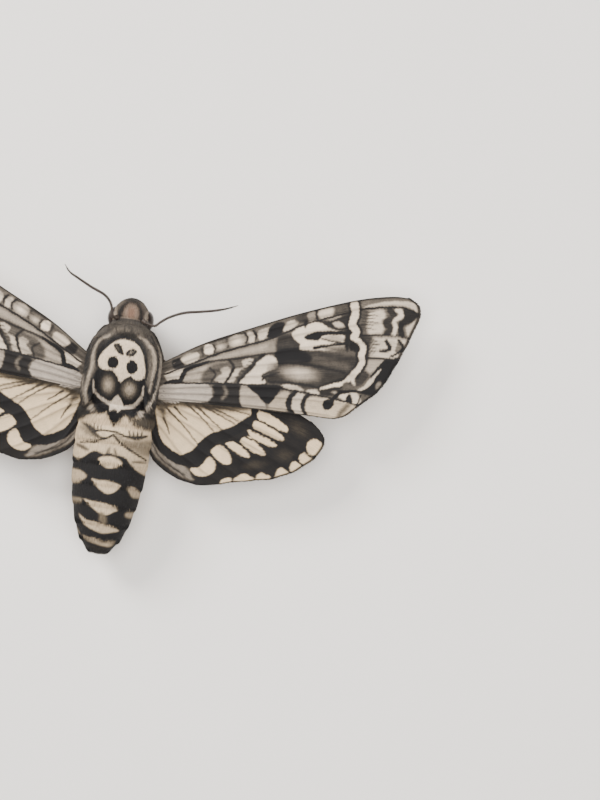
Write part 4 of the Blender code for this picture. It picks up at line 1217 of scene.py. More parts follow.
@dataclass
class Ground:
    """The faces of a skin, as places that hairs can grow from."""

    corners: np.ndarray
    areas: np.ndarray
    normals: np.ndarray

    @classmethod
    def of(cls, obj: bpy.types.Object) -> "Ground":
        """Reads a skin's faces, in millimetres in the moth's own frame."""
        points = read_points(obj) / MM - np.array((0.0, SHIFT, 0.0))
        obj.data.calc_loop_triangles()
        rows = np.empty(3 * len(obj.data.loop_triangles), np.int32)
        obj.data.loop_triangles.foreach_get("vertices", rows)
        corners = points[rows.reshape(-1, 3)]
        across = np.cross(corners[:, 1] - corners[:, 0], corners[:, 2] - corners[:, 0])
        return cls(corners, np.linalg.norm(across, axis=1) / 2, unit(across))

    def scatter(self, weight: np.ndarray, count: int,
                dice: np.random.Generator) -> tuple[np.ndarray, np.ndarray]:
        """Draws places spread by weight.

        Args:
            weight: how thickly hairs grow on each face.
            count: how many places are wanted.
            dice: the source of chance.

        Returns:
            The places and the way the skin faces at each.
        """
        sums = np.cumsum(self.areas * weight)
        picks = (np.arange(count) + dice.random(count)) / count * sums[-1]
        face = np.minimum(np.searchsorted(sums, picks), len(sums) - 1)
        one, other = dice.random(count), dice.random(count)
        folded = one + other > 1
        one[folded], other[folded] = 1 - one[folded], 1 - other[folded]
        a, b, c = (self.corners[face, k] for k in range(3))
        return a + (b - a) * one[:, None] + (c - a) * other[:, None], self.normals[face]


def uneven(dice: np.random.Generator, count: int) -> np.ndarray:
    """That many factors round 1, for lengths or widths that differ from tuft to tuft."""
    return 0.7 + 0.6 * dice.random(count)


@dataclass(frozen=True)
class Coat:
    """One kind of pile.

    Attributes:
        slot: the slot's name that it is handed over with.
        length: the tufts' length, from places and normals.
        way: which way they lie, from the same.
        width: how wide they are.
        lift: how far they stand off the skin, as a slope.
        feather: how far the edges of the marks stray in it.
    """

    slot: str
    length: Callable[[np.ndarray, np.ndarray], np.ndarray]
    way: Callable[[np.ndarray, np.ndarray], np.ndarray]
    width: float
    lift: float
    feather: float = 0.10

    STRAY = 0.16
    SEEN_FROM = 0.6
    ROOT_DEPTH = 0.12

    def grow(self, name: str, count: int, weight: np.ndarray, seed: int,
             ground: Ground, bench: Bench) -> None:
        """Grows one stretch of it and hands it over.

        Args:
            name: the piece's name.
            count: how many tufts it has.
            weight: how thickly it grows on each face of the skin.
            seed: the start of its chance.
            ground: the skin.
            bench: where it is handed over.
        """
        dice = np.random.default_rng(seed)
        roots, ups = ground.scatter(weight, count, dice)
        lie = self.way(roots, ups) + dice.normal(0.0, self.STRAY, roots.shape)
        lie = unit(lie - ups * np.sum(lie * ups, 1, keepdims=True))
        lift = self.lift * (0.5 + dice.random(count))
        ways = unit(lie + ups * lift[:, None])
        lengths = self.length(roots, ups) * uneven(dice, count)
        feather = self.feather * dice.normal(0.0, 1.0, count)
        seen = roots + ways * (lengths * self.SEEN_FROM + feather)[:, None]
        widths = self.width * uneven(dice, count)
        around = np.arctan2(roots[:, 0], roots[:, 2] - MIDLINE) / math.tau + 0.5
        low, high = roots[:, 1].min(), roots[:, 1].max()
        unwrapped = np.stack([around, (roots[:, 1] - low) / (high - low)], 1)
        tufts = Tufts(roots - ups * self.ROOT_DEPTH, ways, ups, lengths, widths, lift * 1.6 + 0.1,
                      body_paint(seen, ups), dice.random(count), unwrapped)
        tufts.hand_over(name, self.slot, bench)


def swept_back(points: np.ndarray, ups: np.ndarray) -> np.ndarray:
    """Hair that lies towards the tail and a little outwards, and rises first where it faces forwards."""
    x = points[:, 0]
    facing = smooth_step(0.2, 0.9, ups[:, 1])
    outwards = 0.05 * x + 0.7 * facing * np.sign(x) * (np.abs(x) > 4.0)
    return np.stack([outwards, -1.0 + 0.3 * facing, -0.15 + 0.75 * facing], 1)


def swept_forward(points: np.ndarray, ups: np.ndarray) -> np.ndarray:
    """Hair of the head, which lies forwards over the crown, down the face and up the palps."""
    x, y, z = points.T
    face = smooth_step(11.0, 14.0, y)
    palps = smooth_step(8.2, 7.4, z)
    down = -0.35 - 1.4 * face
    return np.stack([0.10 * x, 1.0 - 0.6 * face, down + (1.6 - down) * palps], 1)


def thorax_length(points: np.ndarray, ups: np.ndarray) -> np.ndarray:
    """Long at the sides and the waist, short over the skull and on the front ends of the flaps."""
    x, y, _ = points.T
    over_skull = smooth_step(8.5, 5.0, np.hypot(x, (y + 1.0) * 0.72))
    collar = smooth_step(6.2, 7.4, y)
    flap_end = smooth_step(0.1, 0.6, ups[:, 1]) * smooth_step(3, 4.5, np.abs(x)) * smooth_step(2, 4, y)
    return 2.2 - 1.25 * over_skull - 0.6 * collar * (1 - flap_end) - 1.2 * flap_end


def abdomen_length(points: np.ndarray, ups: np.ndarray) -> np.ndarray:
    """Long over the waist and at the end of each segment, short between."""
    y = points[:, 1]
    near = np.min(np.abs(y[:, None] - (np.array(SEGMENT_ENDS) + 0.5)[None]), axis=1)
    return 0.85 + 0.45 * smooth_step(1.0, 0.2, near) + 1.1 * smooth_step(-13.0, -10.0, y)


def head_length(points: np.ndarray, ups: np.ndarray) -> np.ndarray:
    """Short on the face, longer on the crown and under the chin."""
    _, y, z = points.T
    return 0.72 + 0.6 * smooth_step(10.5, 13.5, z) * smooth_step(13.5, 10, y) + 0.3 * smooth_step(7, 6, z)


def flank_length(points: np.ndarray, ups: np.ndarray) -> np.ndarray:
    """The thorax's flanks and chest."""
    return np.full(len(points), 1.5)


def make_coats(ground: Ground, bench: Bench) -> None:
    """Grows every stretch of the body's pile."""
    middles = ground.corners.mean(1)
    x, y, z = middles.T
    up = ground.normals[:, 2]
    head = y - HOOD_LEAN * (z - MIDLINE) > HEAD_FRONT
    eyes = [EYE_PLACE * np.array((side, 1, 1)) for side in (-1, 1)]
    bare = np.minimum(*(np.linalg.norm((middles - eye) / EYE_RADII, axis=1) for eye in eyes)) <= 1.0
    thorax = (y > WAIST - 0.6) & ~head
    thinned = 0.6 + 0.4 * (up > -0.2)
    front = (y <= WAIST + 0.5) & (y > -24.0)
    top = thorax & (up > 0.05)
    upper = Coat("thorax_pile", thorax_length, swept_back, 0.17, 0.22)
    flanks = Coat("thorax_pile", flank_length, swept_back, 0.2, 0.3)
    crown = Coat("head_pile", head_length, swept_forward, 0.13, 0.42)
    fore_part = Coat("abdomen_pile", abdomen_length, swept_back, 0.16, 0.16, 0.14)
    hind_part = Coat("abdomen_pile", abdomen_length, swept_back, 0.15, 0.14, 0.14)
    upper.grow("thorax_coat_left", 17000, top & (x <= 0), 11, ground, bench)
    upper.grow("thorax_coat_right", 17000, top & (x > 0), 12, ground, bench)
    flanks.grow("thorax_coat_under", 11000, thorax & (up <= 0.12), 13, ground, bench)
    crown.grow("head_coat", 14000, head & ~bare, 14, ground, bench)
    fore_part.grow("abdomen_coat_front", 18000, front * thinned, 15, ground, bench)
    hind_part.grow("abdomen_coat_back", 15000, (y <= -23.6) * thinned, 16, ground, bench)


@dataclass
class WingShape:
    """The outline of one wing and its veins, in millimetres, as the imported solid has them.

    Attributes:
        name: the CAD nodes' name without the side.
        leading, outer, trailing: its three edges.
        veins: where the veins run, from the leading edge, 0, to the trailing edge, 1.
        scallop: how far the outer edge sinks between two veins.
        hind: whether it is a hindwing.
        cells: how many cells the membrane has along and across.
        fringe: how many scales fringe the outer edge and the trailing edge.
    """

    name: str
    leading: np.ndarray
    outer: np.ndarray
    trailing: np.ndarray
    veins: tuple[float, ...]
    scallop: float
    hind: bool
    cells: tuple[int, int]
    fringe: tuple[int, int]


FOREWING = WingShape(
    name="forewing",
    leading=places("4.5,0.4 8.6,2.7 16.1,7.6 26.5,12.7 35.8,17 46.7,21.3 54,23.2 58.2,23.5"),
    outer=places("58.2,23.5 60.2,22.5 61.1,20.6 60.7,18.4 59,13 56.3,6.3 54.4,2.8 50.7,-0.9 48.6,-3 "
                 "46.6,-4 44.6,-4.25"),
    trailing=places("4.5,-6 16.1,-5.2 29.4,-4.5 38,-4.3 44.6,-4.25"),
    veins=(0.075, 0.19, 0.32, 0.44, 0.56, 0.68, 0.80, 0.92),
    scallop=0.12,
    hind=False,
    cells=(312, 120),
    fringe=(420, 520),
)
HINDWING = WingShape(
    name="hindwing",
    leading=places("4.5,-3.4 14,-1.5 24,-1.2 32,-2.4 38,-4.2 41.4,-5.7"),
    outer=places("41.4,-5.7 43.6,-7.4 44.7,-9.4 44.3,-11.6 41.6,-14.9 38.6,-17.1 35.3,-18.7 31.5,-19.7 "
                 "27.9,-20.5 24.4,-21.4 20.6,-22.35 17.2,-22.2 14.6,-21.6"),
    trailing=places("4.5,-9 6.8,-13 8.3,-17.6 11.3,-20.1 14.6,-21.6"),
    veins=(0.11, 0.24, 0.37, 0.50, 0.63, 0.76, 0.89),
    scallop=0.25,
    hind=True,
    cells=(224, 140),
    fringe=(520, 460),
)


@dataclass
class Wing:
    """One wing: a thin scaled membrane on raised veins, its fringe and the hair at its base.

    Attributes:
        shape: its outline.
        side: the side it grows on.
        membrane: its thickness away from the root.
        root_thickness: its thickness at the root.
        vein_height, vein_half_width: the veins' relief.
        pleat: how far the membrane sinks between two veins.
        breadth, length: the sizes that widths at its rim are set against.
        rim_width: how far in from its rim it is rounded off.
        costa_width, costa_height: the thick leading vein, whose height is given at its root and its end.
        wobble: how far the edges of its marks waver.
    """

    shape: WingShape
    side: Side
    membrane: float = 0.26
    root_thickness: float = 0.8
    vein_height: float = 0.17
    vein_half_width: float = 0.24
    pleat: float = 0.13
    breadth: float = 22.0
    length: float = 46.0
    rim_width: float = 0.5
    costa_width: float = 0.7
    costa_height: tuple[float, float] = (0.62, 0.28)
    wobble: float = 0.045

    def surface(self, share: np.ndarray, across: np.ndarray) -> tuple[np.ndarray, np.ndarray]:
        """The middle of the wing's sheet on the right side.

        Args:
            share: places from the root, 0, to the outer edge, 1.
            across: places from the leading edge, 0, to the trailing edge, 1.

        Returns:
            The places, and how strongly a vein shows at each.
        """
        fine = 400
        leading, trailing, outer = (smooth_path(line, fine) for line in
                                    (self.shape.leading, self.shape.trailing, self.shape.outer))
        steps = np.linspace(0, 1, fine + 1)
        root = leading[0] + (trailing[0] - leading[0]) * steps[:, None]
        inward = unit((leading[0] + trailing[0]) / 2 - outer[fine // 2])

        def read(line: np.ndarray, at: np.ndarray) -> np.ndarray:
            """A line's points at shares of it."""
            return np.stack([np.interp(at, steps, line[:, k]) for k in range(2)], 1)

        edges = np.array((0.0, *self.shape.veins, 1.0))
        cell = np.clip(np.searchsorted(edges, across, side="right") - 1, 0, len(edges) - 2)
        within = (across - edges[cell]) / (edges[cell + 1] - edges[cell])
        s, a = share[:, None], across[:, None]
        first, last = leading[0], leading[-1]
        tip = read(outer, across) + inward * (self.shape.scallop * np.sin(math.pi * within))[:, None]
        corners = (1 - s) * ((1 - a) * first + a * trailing[0]) + s * ((1 - a) * last + a * trailing[-1])
        edge_lead, edge_trail = read(leading, share), read(trailing, share)
        flat = (1 - a) * edge_lead + a * edge_trail + (1 - s) * read(root, across) + s * tip - corners
        chord = np.linalg.norm(edge_lead - edge_trail, axis=1)
        off = np.min(np.abs(across[:, None] - np.array(self.shape.veins)[None]), axis=1) * chord
        ridge = np.exp(-((off / self.vein_half_width) ** 2)) * np.clip(6 * (1 - share), 0, 1)
        height = self.height(flat, share, across)
        height -= self.pleat * np.sin(math.pi * within) ** 2 * np.clip(3 * share, 0, 1)
        return np.column_stack([flat, height]), ridge

    def height(self, flat: np.ndarray, share: np.ndarray, across: np.ndarray) -> np.ndarray:
        """The height of the middle of the sheet over the floor."""
        out = flat[:, 0] - 8.0
        height = 12.1 + 0.10 * out - 0.0031 * out**2
        if not self.shape.hind:
            return height + 0.8 * np.sin(math.pi * across) * np.minimum(1.0, 2.0 * share)
        behind = np.maximum(0.0, -4.0 - flat[:, 1])
        return height - 1.45 - 0.05 * behind - 0.005 * behind**2

    @property
    def name(self) -> str:
        """The CAD node that the wing stands for."""
        return f"{self.shape.name}_{self.side.word}"

    @property
    def slot(self) -> str:
        """The slot's name of its scales, which also names their material."""
        return f"{self.shape.name}_scales"

    def thickness(self, share: np.ndarray) -> np.ndarray:
        """The membrane's thickness, which grows towards the root."""
        return self.membrane + (self.root_thickness - self.membrane) * (1 - share) ** 3

    def upper_paint(self, flat: np.ndarray) -> Paint:
        """The paint of the upper side at places on the right wing."""
        x, y = flat.T
        wobble = self.wobble * np.column_stack([np.sin(3.1 * y + 1.7 * x) + np.sin(7.9 * y - 2.3 * x),
                                                np.sin(2.7 * x - 1.1 * y) + np.sin(8.3 * x + 3.4 * y)])
        if self.shape.hind:
            return Paint.ground(len(flat), 0.06, 0.85).lay(flat + wobble, HINDWING_MARKS)
        return Paint.ground(len(flat), 0.26, 0.3).lay(flat + wobble, FOREWING_MARKS)

    def under_paint(self, flat: np.ndarray) -> Paint:
        """The plainer paint of the underside at places on the right wing."""
        marks = HINDWING_UNDERSIDE if self.shape.hind else FOREWING_UNDERSIDE
        return Paint.ground(len(flat), 0.62, 0.75).lay(flat, marks)

    def make_blade(self, bench: Bench) -> None:
        """The membrane: a grid that is extruded into a slab and set on the wing's two surfaces."""
        long, wide = self.shape.cells
        blade = add(bpy.ops.mesh.primitive_grid_add, self.name + "_blade", x_subdivisions=long,
                    y_subdivisions=wide, size=1.0)
        edit_all(bpy.ops.mesh.extrude_region_move, TRANSFORM_OT_translate={"value": (0.0, 0.0, 1.0)})
        grid = read_points(blade)
        share, across, upper = grid[:, 0] + 0.5, grid[:, 1] + 0.5, grid[:, 2] > 0.5
        across = across - 0.5 * np.sin(math.tau * across) / math.tau
        middle, ridge = self.surface(share * 0.994, across * 0.988)
        rim = np.minimum(np.minimum(across, 1 - across) * self.breadth, (1 - share) * self.length)
        rounded = np.sqrt(1 - (1 - np.clip(rim / self.rim_width, 0, 1)) ** 2)
        high, low = self.costa_height
        costa = np.exp(-((across * self.breadth / self.costa_width) ** 2)) * (high - (high - low) * share)
        half = (self.thickness(share) / 2 + costa / 2) * (0.12 + 0.88 * rounded)
        lift = np.where(upper, half + self.vein_height * ridge, -half - 0.5 * self.vein_height * ridge)
        paint, under = self.upper_paint(middle[:, :2]), self.under_paint(middle[:, :2])
        for mine, other in zip(vars(paint).values(), vars(under).values()):
            mine[~upper] = other[~upper]
        paint.tone *= 1 - 0.85 * smooth_step(0.55, 0.05, rim)
        paint.tone *= 1 - 0.22 * ridge
        keep_marks(blade, paint.colours())
        keep_map(blade, np.column_stack([share, across]), "UVMap")
        keep_map(blade, np.column_stack([0.01 + 0.98 * share, np.where(upper, 0.51, 0.01) + 0.47 * across]))
        middle[:, 2] += lift
        middle[:, 0] *= self.side.value
        write_points(blade, to_row_frame(middle))
        face_outwards()
        bench.hand_over(blade, WingFinish(f"{self.slot} streaked"), self.slot, self.name)

    def grow(self, tufts: Tufts, kind: str, bench: Bench) -> None:
        """Hands over tufts of a kind that were worked out on the right wing."""
        for rows in (tufts.roots, tufts.ways):
            rows[:, 0] *= self.side.value
        tufts.hand_over(f"{self.name}_{kind}", self.slot, bench)

    def make_fringe(self, bench: Bench) -> None:
        """The short scales that stand out along the outer and the trailing edge."""
        dice = np.random.default_rng(31 + self.side.value + 7 * self.shape.hind)
        layers = 3
        outer, trailing = self.shape.fringe
        share = np.concatenate([np.ones(outer * layers), np.tile(np.linspace(0.03, 1, trailing), layers)])
        across = np.concatenate([np.tile(np.linspace(0.0, 1, outer), layers), np.ones(trailing * layers)])
        edge, _ = self.surface(share, across)
        inner, _ = self.surface(np.where(share == 1, 0.985, share), np.where(across == 1, 0.97, across))
        out = unit(edge - inner)
        roots = edge - out * 0.48 + dice.normal(0, 0.04, edge.shape)
        ways = out + dice.normal(0, 0.12, out.shape)
        paint = self.upper_paint((edge - out * 0.5)[:, :2])
        paint.tone = 0.08 + 0.22 * paint.tone
        hairy = 0.8 * smooth_step(0.5, 0.05, share) * self.shape.hind
        lengths = (0.48 + hairy) * (0.8 + 0.4 * dice.random(len(edge)))
        chance = dice.random(len(edge))
        flat = np.column_stack([share, across]) * 0.9 + 0.1 * dice.random((len(edge), 2))
        self.grow(Tufts(roots, ways, UP, lengths, 0.16, 0.1, paint, chance, flat, 0.25), "fringe", bench)

    def make_base_hair(self, bench: Bench) -> None:
        """The long hair that covers the wing's root and thins out along it."""
        dice = np.random.default_rng(51 + self.side.value + 7 * self.shape.hind)
        count = 3600
        share = 0.02 + 0.30 * dice.random(count) ** 1.7 * (0.8 if self.shape.hind else 0.55)
        across = dice.random(count)
        middle, _ = self.surface(share, across)
        ahead, _ = self.surface(share + 0.01, across)
        paint = self.upper_paint(middle[:, :2])
        near = smooth_step(0.16, 0.04, share)
        paint.blend(slice(None), near, 0.26, 0.3)
        lie = unit(ahead - middle) + np.array((0.0, -0.45, 0.0)) + dice.normal(0, 0.18, (count, 3))
        lie[:, 2] = 0.04 + 0.10 * dice.random(count)
        lengths = (0.9 + 1.1 * near) * uneven(dice, count)
        middle[:, 2] += self.thickness(share) / 2 - 0.1
        flat = np.column_stack([share / share.max(), across])
        tufts = Tufts(middle, lie, UP, lengths, 0.14, 0.28, paint, dice.random(count), flat, 0.4)
        self.grow(tufts, "base_hair", bench)

    def make(self, bench: Bench) -> None:
        """Makes every piece of the wing."""
        self.make_blade(bench)
        self.make_fringe(bench)
        self.make_base_hair(bench)


@dataclass
class Limb:
    """A jointed tube along a path, with a radius and a tone at each point of it."""

    path: np.ndarray
    radii: np.ndarray
    tones: np.ndarray
    sides: int = 12

    @classmethod
    def bar(cls, start: np.ndarray, end: np.ndarray, radii: Point, tones: Point) -> "Limb":
        """One straight joint, rounded off at both ends."""
        steps = np.linspace(0, 1, 13)
        rounded = np.sqrt(np.clip(1 - (2 * steps - 1) ** 8, 0.12, 1))
        shape, tone = (np.interp(steps, HALVES, values) for values in (radii, tones))
        return cls(start + (end - start) * steps[:, None], shape * rounded, tone)

    @classmethod
    def spike(cls, start: np.ndarray, tip: np.ndarray, radii: Point, tones: Point, sides: int) -> "Limb":
        """A straight hair or spur, with its radius and tone at its root, middle and tip."""
        return cls(np.array((start, (start + tip) / 2, tip)), np.array(radii), np.array(tones), sides)

    def shell(self) -> tuple[np.ndarray, list[tuple[int, ...]], np.ndarray]:
        """The closed tube: its points, faces and tones."""
        ahead = unit(np.gradient(self.path, axis=0))
        steep = np.abs(ahead[:, 2:]) > 0.95
        up = np.where(steep, (0.0, 1.0, 0.0), UP)
        side = unit(np.cross(ahead, up))
        over = np.cross(side, ahead)
        around = math.tau * np.arange(self.sides) / self.sides
        cos, sin = (wave(around)[None, :, None] for wave in (np.cos, np.sin))
        rings = self.path[:, None] + self.radii[:, None, None] * (side[:, None] * cos + over[:, None] * sin)
        points = np.vstack([rings.reshape(-1, 3), self.path[0], self.path[-1]])
        n, last = self.sides, len(self.path) - 1
        faces = [(i * n + j, i * n + (j + 1) % n, (i + 1) * n + (j + 1) % n, (i + 1) * n + j)
                 for i in range(last) for j in range(n)]
        start, end = len(points) - 2, len(points) - 1
        faces += [(start, (j + 1) % n, j) for j in range(n)]
        faces += [(end, last * n + j, last * n + (j + 1) % n) for j in range(n)]
        tones = np.concatenate([np.repeat(self.tones, n), [self.tones[0], self.tones[-1]]])
        return points, faces, tones


def join_limbs(name: str, limbs: Sequence[Limb]) -> bpy.types.Object:
    """Several jointed tubes as one piece, with their tones."""
    points, faces, tones, start = [], [], [], 0
    for limb in limbs:
        its_points, its_faces, its_tones = limb.shell()
        points.append(its_points)
        faces += [tuple(v + start for v in f) for f in its_faces]
        tones.append(its_tones)
        start += len(its_points)
    obj = new_mesh(name, np.vstack(points), faces)
    paint = Paint(np.concatenate(tones), np.zeros(start), np.zeros(start))
    keep_marks(obj, paint.colours())
    select(obj)
    face_outwards()
    return obj


@dataclass
class Antenna:
    """A stout, ringed feeler with a row of short bristles and a fine hooked tip."""

    side: Side
    knots: np.ndarray
    rings: int = 64
    thickest: float = 0.31

    def make(self, bench: Bench) -> None:
        """Makes the feeler."""
        steps = 5
        count = self.rings * steps
        path = smooth_path(self.knots, count)
        along = np.linspace(0, 1, count + 1)
        swelling = np.interp(along, (0, 0.05, 0.5, 0.8, 0.93, 1.0), (0.8, 0.85, 1.0, 0.85, 0.5, 0.22))
        body = swelling * self.thickest
        ring = np.abs((along * self.rings) % 1.0 - 0.5) * 2
        radii = body * (1.0 - 0.16 * smooth_step(0.7, 1.0, ring))
        tones = 0.05 + 0.30 * smooth_step(0.75, 1.0, ring) + 0.35 * smooth_step(0.93, 1.0, along)
        thick = np.array((0.45, 0.55, 0.56, 0.52, 0.45, 0.5, 0.5, 0.45, 0.36))
        base = smooth_path([self.knots[0], path[count // 40], path[count // 18]], len(thick) - 1)
        scape = Limb(base, thick, np.full(len(thick), 0.15))
        stem = Limb(path, radii, tones, 14)
        bristles = []
        for k in range(4, self.rings - 3):
            at = path[k * steps]
            way = unit(path[k * steps + 1] - path[k * steps - 1])
            flank = unit(np.cross(way, UP))
            for turn in (-1, 1):
                reach = unit(turn * flank * 0.8 - 0.45 * UP + 0.4 * way)
                tip = at + reach * (body[k * steps] + 0.22)
                bristles.append(Limb(np.array((at + reach * 0.1, (at + tip) / 2, tip)),
                                     np.array((0.045, 0.035, 0.01)), np.full(3, 0.2), 4))
        piece = join_limbs(f"feeler_{self.side.word}", [scape, stem, *bristles])
        bench.hand_over(piece, HornFinish("feeler horn", srgb(24, 18, 16), srgb(128, 112, 98)),
                        "antenna_shaft", f"antenna_{self.side.word}")


@dataclass
class Leg:
    """One leg: hip, thigh, shin with its spurs, a foot of five joints and two claws.

    Attributes:
        name: which of the three it is.
        side: the side it grows on.
        knots: hip, knee, ankle and toe of the right one.
    """

    name: str
    side: Side
    knots: np.ndarray
    thigh: tuple[float, float, float] = (0.8, 1.0, 0.62)
    shin: tuple[float, float, float] = (0.55, 0.72, 0.42)
    foot: float = 0.3

    FOOT_CUTS = (0.0, 0.34, 0.55, 0.72, 0.86, 1.0)
    SOLE = 0.06
    LOWEST_SPUR = 0.25
    LOWEST_HAIR = 0.05

    def parts(self) -> list[Limb]:
        """The bare joints, the spurs and claws, and the bristles of the foot."""
        hip, knee, ankle, toe = self.knots * (self.side.value, 1, 1)
        low = [ankle + (toe - ankle) * cut for cut in self.FOOT_CUTS]
        for place in low[1:]:
            place[2] = self.foot + self.SOLE
        joints = list(zip(low, low[1:]))
        end = low[-1]
        ahead = unit(end - low[-2])
        flank = unit(np.cross(ahead, UP))
        foot = (self.foot, self.foot * 0.9, self.foot * 1.1)
        limbs = [Limb.bar(hip, knee, self.thigh, (0.2, 0.12, 0.3)),
                 Limb.bar(knee, ankle, self.shin, (0.3, 0.12, 0.35))]
        limbs += [Limb.bar(*joint, foot, (0.75, 0.15, 0.1)) for joint in joints]
        spurs = [(ankle, 1.3)]
        if self.name == "hind_leg":
            spurs = [(ankle, 1.7), (knee + (ankle - knee) * 0.6, 1.4)]
        for turn in (-1, 1):
            claw = smooth_path([end, end + ahead * 0.5 + flank * 0.3 * turn + 0.1 * UP,
                                end + ahead * 0.85 + flank * 0.42 * turn - 0.22 * UP], 6)
            limbs.append(Limb(claw, np.linspace(0.13, 0.03, 7), np.full(7, 0.05), 6))
            way = unit(toe - ankle + flank * 0.9 * turn - 0.1 * UP)
            for start, length in spurs:
                tip = start + way * length
                tip[2] = max(tip[2], self.LOWEST_SPUR)
                limbs.append(Limb.spike(start, tip, (0.17, 0.13, 0.03), (0.4, 0.3, 0.2), 6))
            way = 0.5 * unit(ahead * 0.8 + flank * turn * 0.7 - 0.25 * UP)
            for start, stop in joints:
                for share in (0.3, 0.6, 0.9):
                    root = start + (stop - start) * share
                    tip = root + way
                    tip[2] = max(tip[2], self.LOWEST_HAIR)
                    limbs.append(Limb.spike(root, tip, (0.06, 0.04, 0.01), (0.15,) * 3, 4))
        return limbs

    def make_scales(self, bench: Bench, seed: int) -> None:
        """The scales and short hair on thigh and shin."""
        dice = np.random.default_rng(seed)
        hip, knee, ankle, _ = self.knots * (self.side.value, 1, 1)
        rows = []
        for half, (start, end, radii, count, long) in enumerate(((hip, knee, self.thigh, 900, 0.95),
                                                                 (knee, ankle, self.shin, 800, 0.6))):
            t, turn = dice.random(count), dice.random(count)
            around = (math.tau * turn)[:, None]
            ahead = unit(end - start)
            side = unit(np.cross(ahead, UP))
            out = side * np.cos(around) + np.cross(side, ahead) * np.sin(around)
            radius = np.interp(t, HALVES, radii) - 0.06
            roots = start + (end - start) * t[:, None] + out * radius[:, None]
            way = ahead + out * 0.28 + dice.normal(0, 0.1, out.shape)
            tone = 0.16 + 0.42 * smooth_step(0.86, 0.97, t) + 0.10 * dice.random(count)
            flat = np.column_stack([t, (half + turn) / 2])
            rows.append((roots, way, out, np.full(count, long), tone, flat))
        roots, ways, ups, lengths, tone, flat = (np.concatenate(column) for column in zip(*rows))
        paint = Paint(tone, np.full(len(tone), 0.35), np.full(len(tone), 0.15))
        lengths = lengths * uneven(dice, len(tone))
        tufts = Tufts(roots, ways, ups, lengths, 0.17, 0.35, paint, dice.random(len(tone)), flat, 0.3)
        tufts.hand_over(f"{self.name}_{self.side.word}_scales", "leg_scales", bench)

    def make(self, bench: Bench, seed: int) -> None:
        """Makes the leg and its scales."""
        piece = join_limbs(f"{self.name}_{self.side.word}_joints", self.parts())
        finish = HornFinish("leg horn", srgb(46, 38, 36), srgb(198, 178, 152), 0.5)
        bench.hand_over(piece, finish, "leg_scales", f"{self.name}_{self.side.word}")
        self.make_scales(bench, seed)


@dataclass
class Face:
    """The eyes and the coiled tongue."""

    coil_place: Point = (0.0, 12.0, 4.9)

    def make_eye(self, side: Side, bench: Bench) -> None:
        """One domed eye, from an even ball that is stretched into the head's side."""
        eye = add(bpy.ops.mesh.primitive_ico_sphere_add, f"eye_{side.word}_dome", subdivisions=5,
                  radius=1.0)
        points = (read_points(eye) * EYE_RADII + EYE_PLACE) * (side.value, 1, 1)
        write_points(eye, to_row_frame(points))
        face_outwards()
        bench.hand_over(eye, EyeFinish("compound eye"), "eye_facets", f"eye_{side.word}")

    def make_tongue(self, bench: Bench) -> None:
        """The short, stout tongue: two strands side by side in one coil."""
        count = 90
        turns = np.linspace(0, 1, count)
        ripples = np.sin(turns * 240)
        angle = math.radians(70) + turns * math.tau * 1.9
        size = 1.75 - 1.15 * turns
        radii = (0.34 - 0.16 * turns) * (1 + 0.07 * ripples)
        strands = []
        for off in (-0.17, 0.17):
            coil = np.column_stack([np.full(count, off), size * np.cos(angle), size * np.sin(angle)])
            strands.append(Limb(self.coil_place + coil, radii, 0.15 + 0.1 * ripples, 10))
        bench.hand_over(join_limbs("coiled_tongue", strands),
                        HornFinish("tongue skin", srgb(50, 30, 22), srgb(112, 76, 54), 0.4),
                        "proboscis_skin", "proboscis")

    def make(self, bench: Bench) -> None:
        """Makes the eyes and the tongue."""
        for side in Side:
            self.make_eye(side, bench)
        self.make_tongue(bench)


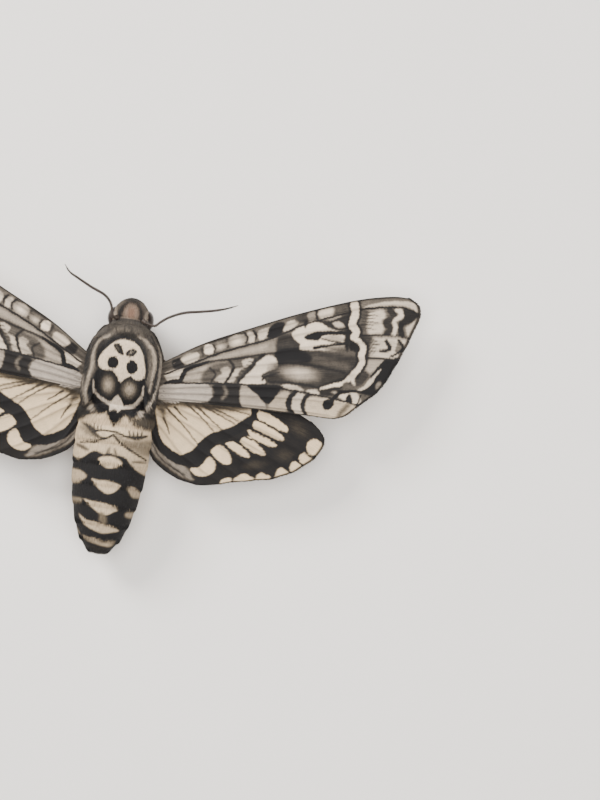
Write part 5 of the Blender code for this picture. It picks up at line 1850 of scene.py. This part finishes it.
@dataclass
class Studio:
    """The plain pale floor, the soft lights and the camera that looks straight down.

    Attributes:
        frame_height: what the picture's long side takes in at the height of the wings.
        middle: what lies under the middle of the picture, in the moth's own frame.
        tilt: how far the picture is turned about the line of sight, in degrees.
    """

    frame_height: float = 169.6
    middle: Point = (38.1, -1.3)
    wing_height: float = 12.5
    tilt: float = 8.3
    lens: float = 180.0
    sensor: float = 36.0
    floor: Colour = srgb(228, 222, 215)

    def make_floor(self) -> None:
        """The floor that the moth stands on."""
        floor = add(bpy.ops.mesh.primitive_plane_add, "floor", size=3.0, location=(0.0, 0.0, -0.0001))
        sheet = ShaderSheet("pale floor", roughness=0.85, specular_ior_level=0.2)
        grain = sheet.noise(sheet.place((40.0,) * 3), 1.0, 3.0)
        lighter = tuple(min(1.0, 1.04 * c) for c in self.floor)
        sheet.set("Base Color", sheet.mix(grain, self.floor, lighter))
        floor.data.materials.append(sheet.material)

    def make_lights(self) -> None:
        """A large soft light overhead, one from the upper left and a weak one from the right."""
        for name, place, size, power in (("overhead", (0.0, 0.05, 0.75), 0.6, 9.0),
                                         ("upper left", (-0.55, 0.45, 0.5), 0.3, 12.0),
                                         ("right", (0.6, -0.2, 0.45), 0.4, 3.0)):
            light = add(bpy.ops.object.light_add, name, type="AREA", location=place)
            light.data.size = size
            light.data.energy = power
            light.rotation_euler = (-Vector(place)).to_track_quat("-Z", "Y").to_euler()
        world = bpy.context.scene.world or bpy.data.worlds.new("soft room")
        bpy.context.scene.world = world
        world.use_nodes = True
        back = next(n for n in world.node_tree.nodes if n.type == "BACKGROUND")
        back.inputs["Color"].default_value = (0.94, 0.96, 1.0, 1.0)
        back.inputs["Strength"].default_value = 0.34

    def make_camera(self) -> None:
        """The camera, straight over the middle of the picture."""
        distance = self.lens * self.frame_height / self.sensor
        place = to_row_frame(np.array((*self.middle, self.wing_height + distance)))
        camera = add(bpy.ops.object.camera_add, "Camera", location=tuple(place),
                     rotation=(0.0, 0.0, math.radians(self.tilt)))
        camera.data.lens = self.lens
        camera.data.sensor_width = self.sensor
        camera.data.clip_start = 0.01
        camera.data.clip_end = 10.0
        bpy.context.scene.camera = camera

    def make(self) -> None:
        """Sets the studio up."""
        self.make_floor()
        self.make_lights()
        self.make_camera()


LEGS = {
    "fore_leg": "2.4,4.6,5.6 4.4,7.2,4.4 7,3.4,1 10.8,0.9,0.35",
    "mid_leg": "2.6,0.2,5.2 9.8,-0.6,6 14.2,-2,0.95 19.4,-2.6,0.35",
    "hind_leg": "2.6,-3.8,5 11.4,-7.6,5.4 14.6,-13.2,0.95 17.2,-18.6,0.35",
}
FEELERS = {
    Side.RIGHT: "2.7,10.5,12.6 4.2,9.9,13.7 5.5,9.8,14.1 6.5,10.7,14.2 8.4,12.1,14.4 11.3,13.4,14.5 "
                "14.5,14.1,14.5 17.2,14.7,14.4 19.8,15.5,14.2 22.3,16.6,13.9",
    Side.LEFT: "-2.7,10.5,12.6 -3.7,10.4,13.8 -4,11.8,14.2 -4.6,13.4,14.3 -6.1,14.8,14.5 -9,16,14.5 "
               "-11.9,17.4,14.4 -14,18.5,14.1 -15.3,20,13.9",
}


def main() -> None:
    """Builds the moth and its studio."""
    logging.basicConfig(level=logging.INFO, format="%(message)s")
    bench = Bench()
    Studio().make()
    for side in Side:
        for shape in (FOREWING, HINDWING):
            Wing(shape, side).make(bench)
    skin = Skin().make(bench)
    make_coats(Ground.of(skin), bench)
    Face().make(bench)
    for side, knots in FEELERS.items():
        Antenna(side, places(knots)).make(bench)
    for number, (name, knots) in enumerate(LEGS.items()):
        for side in Side:
            Leg(name, side, places(knots)).make(bench, 70 + 2 * number + side.value)
    LOG.info("the moth has %d triangles", bench.triangles)


if __name__ == "__main__":
    main()
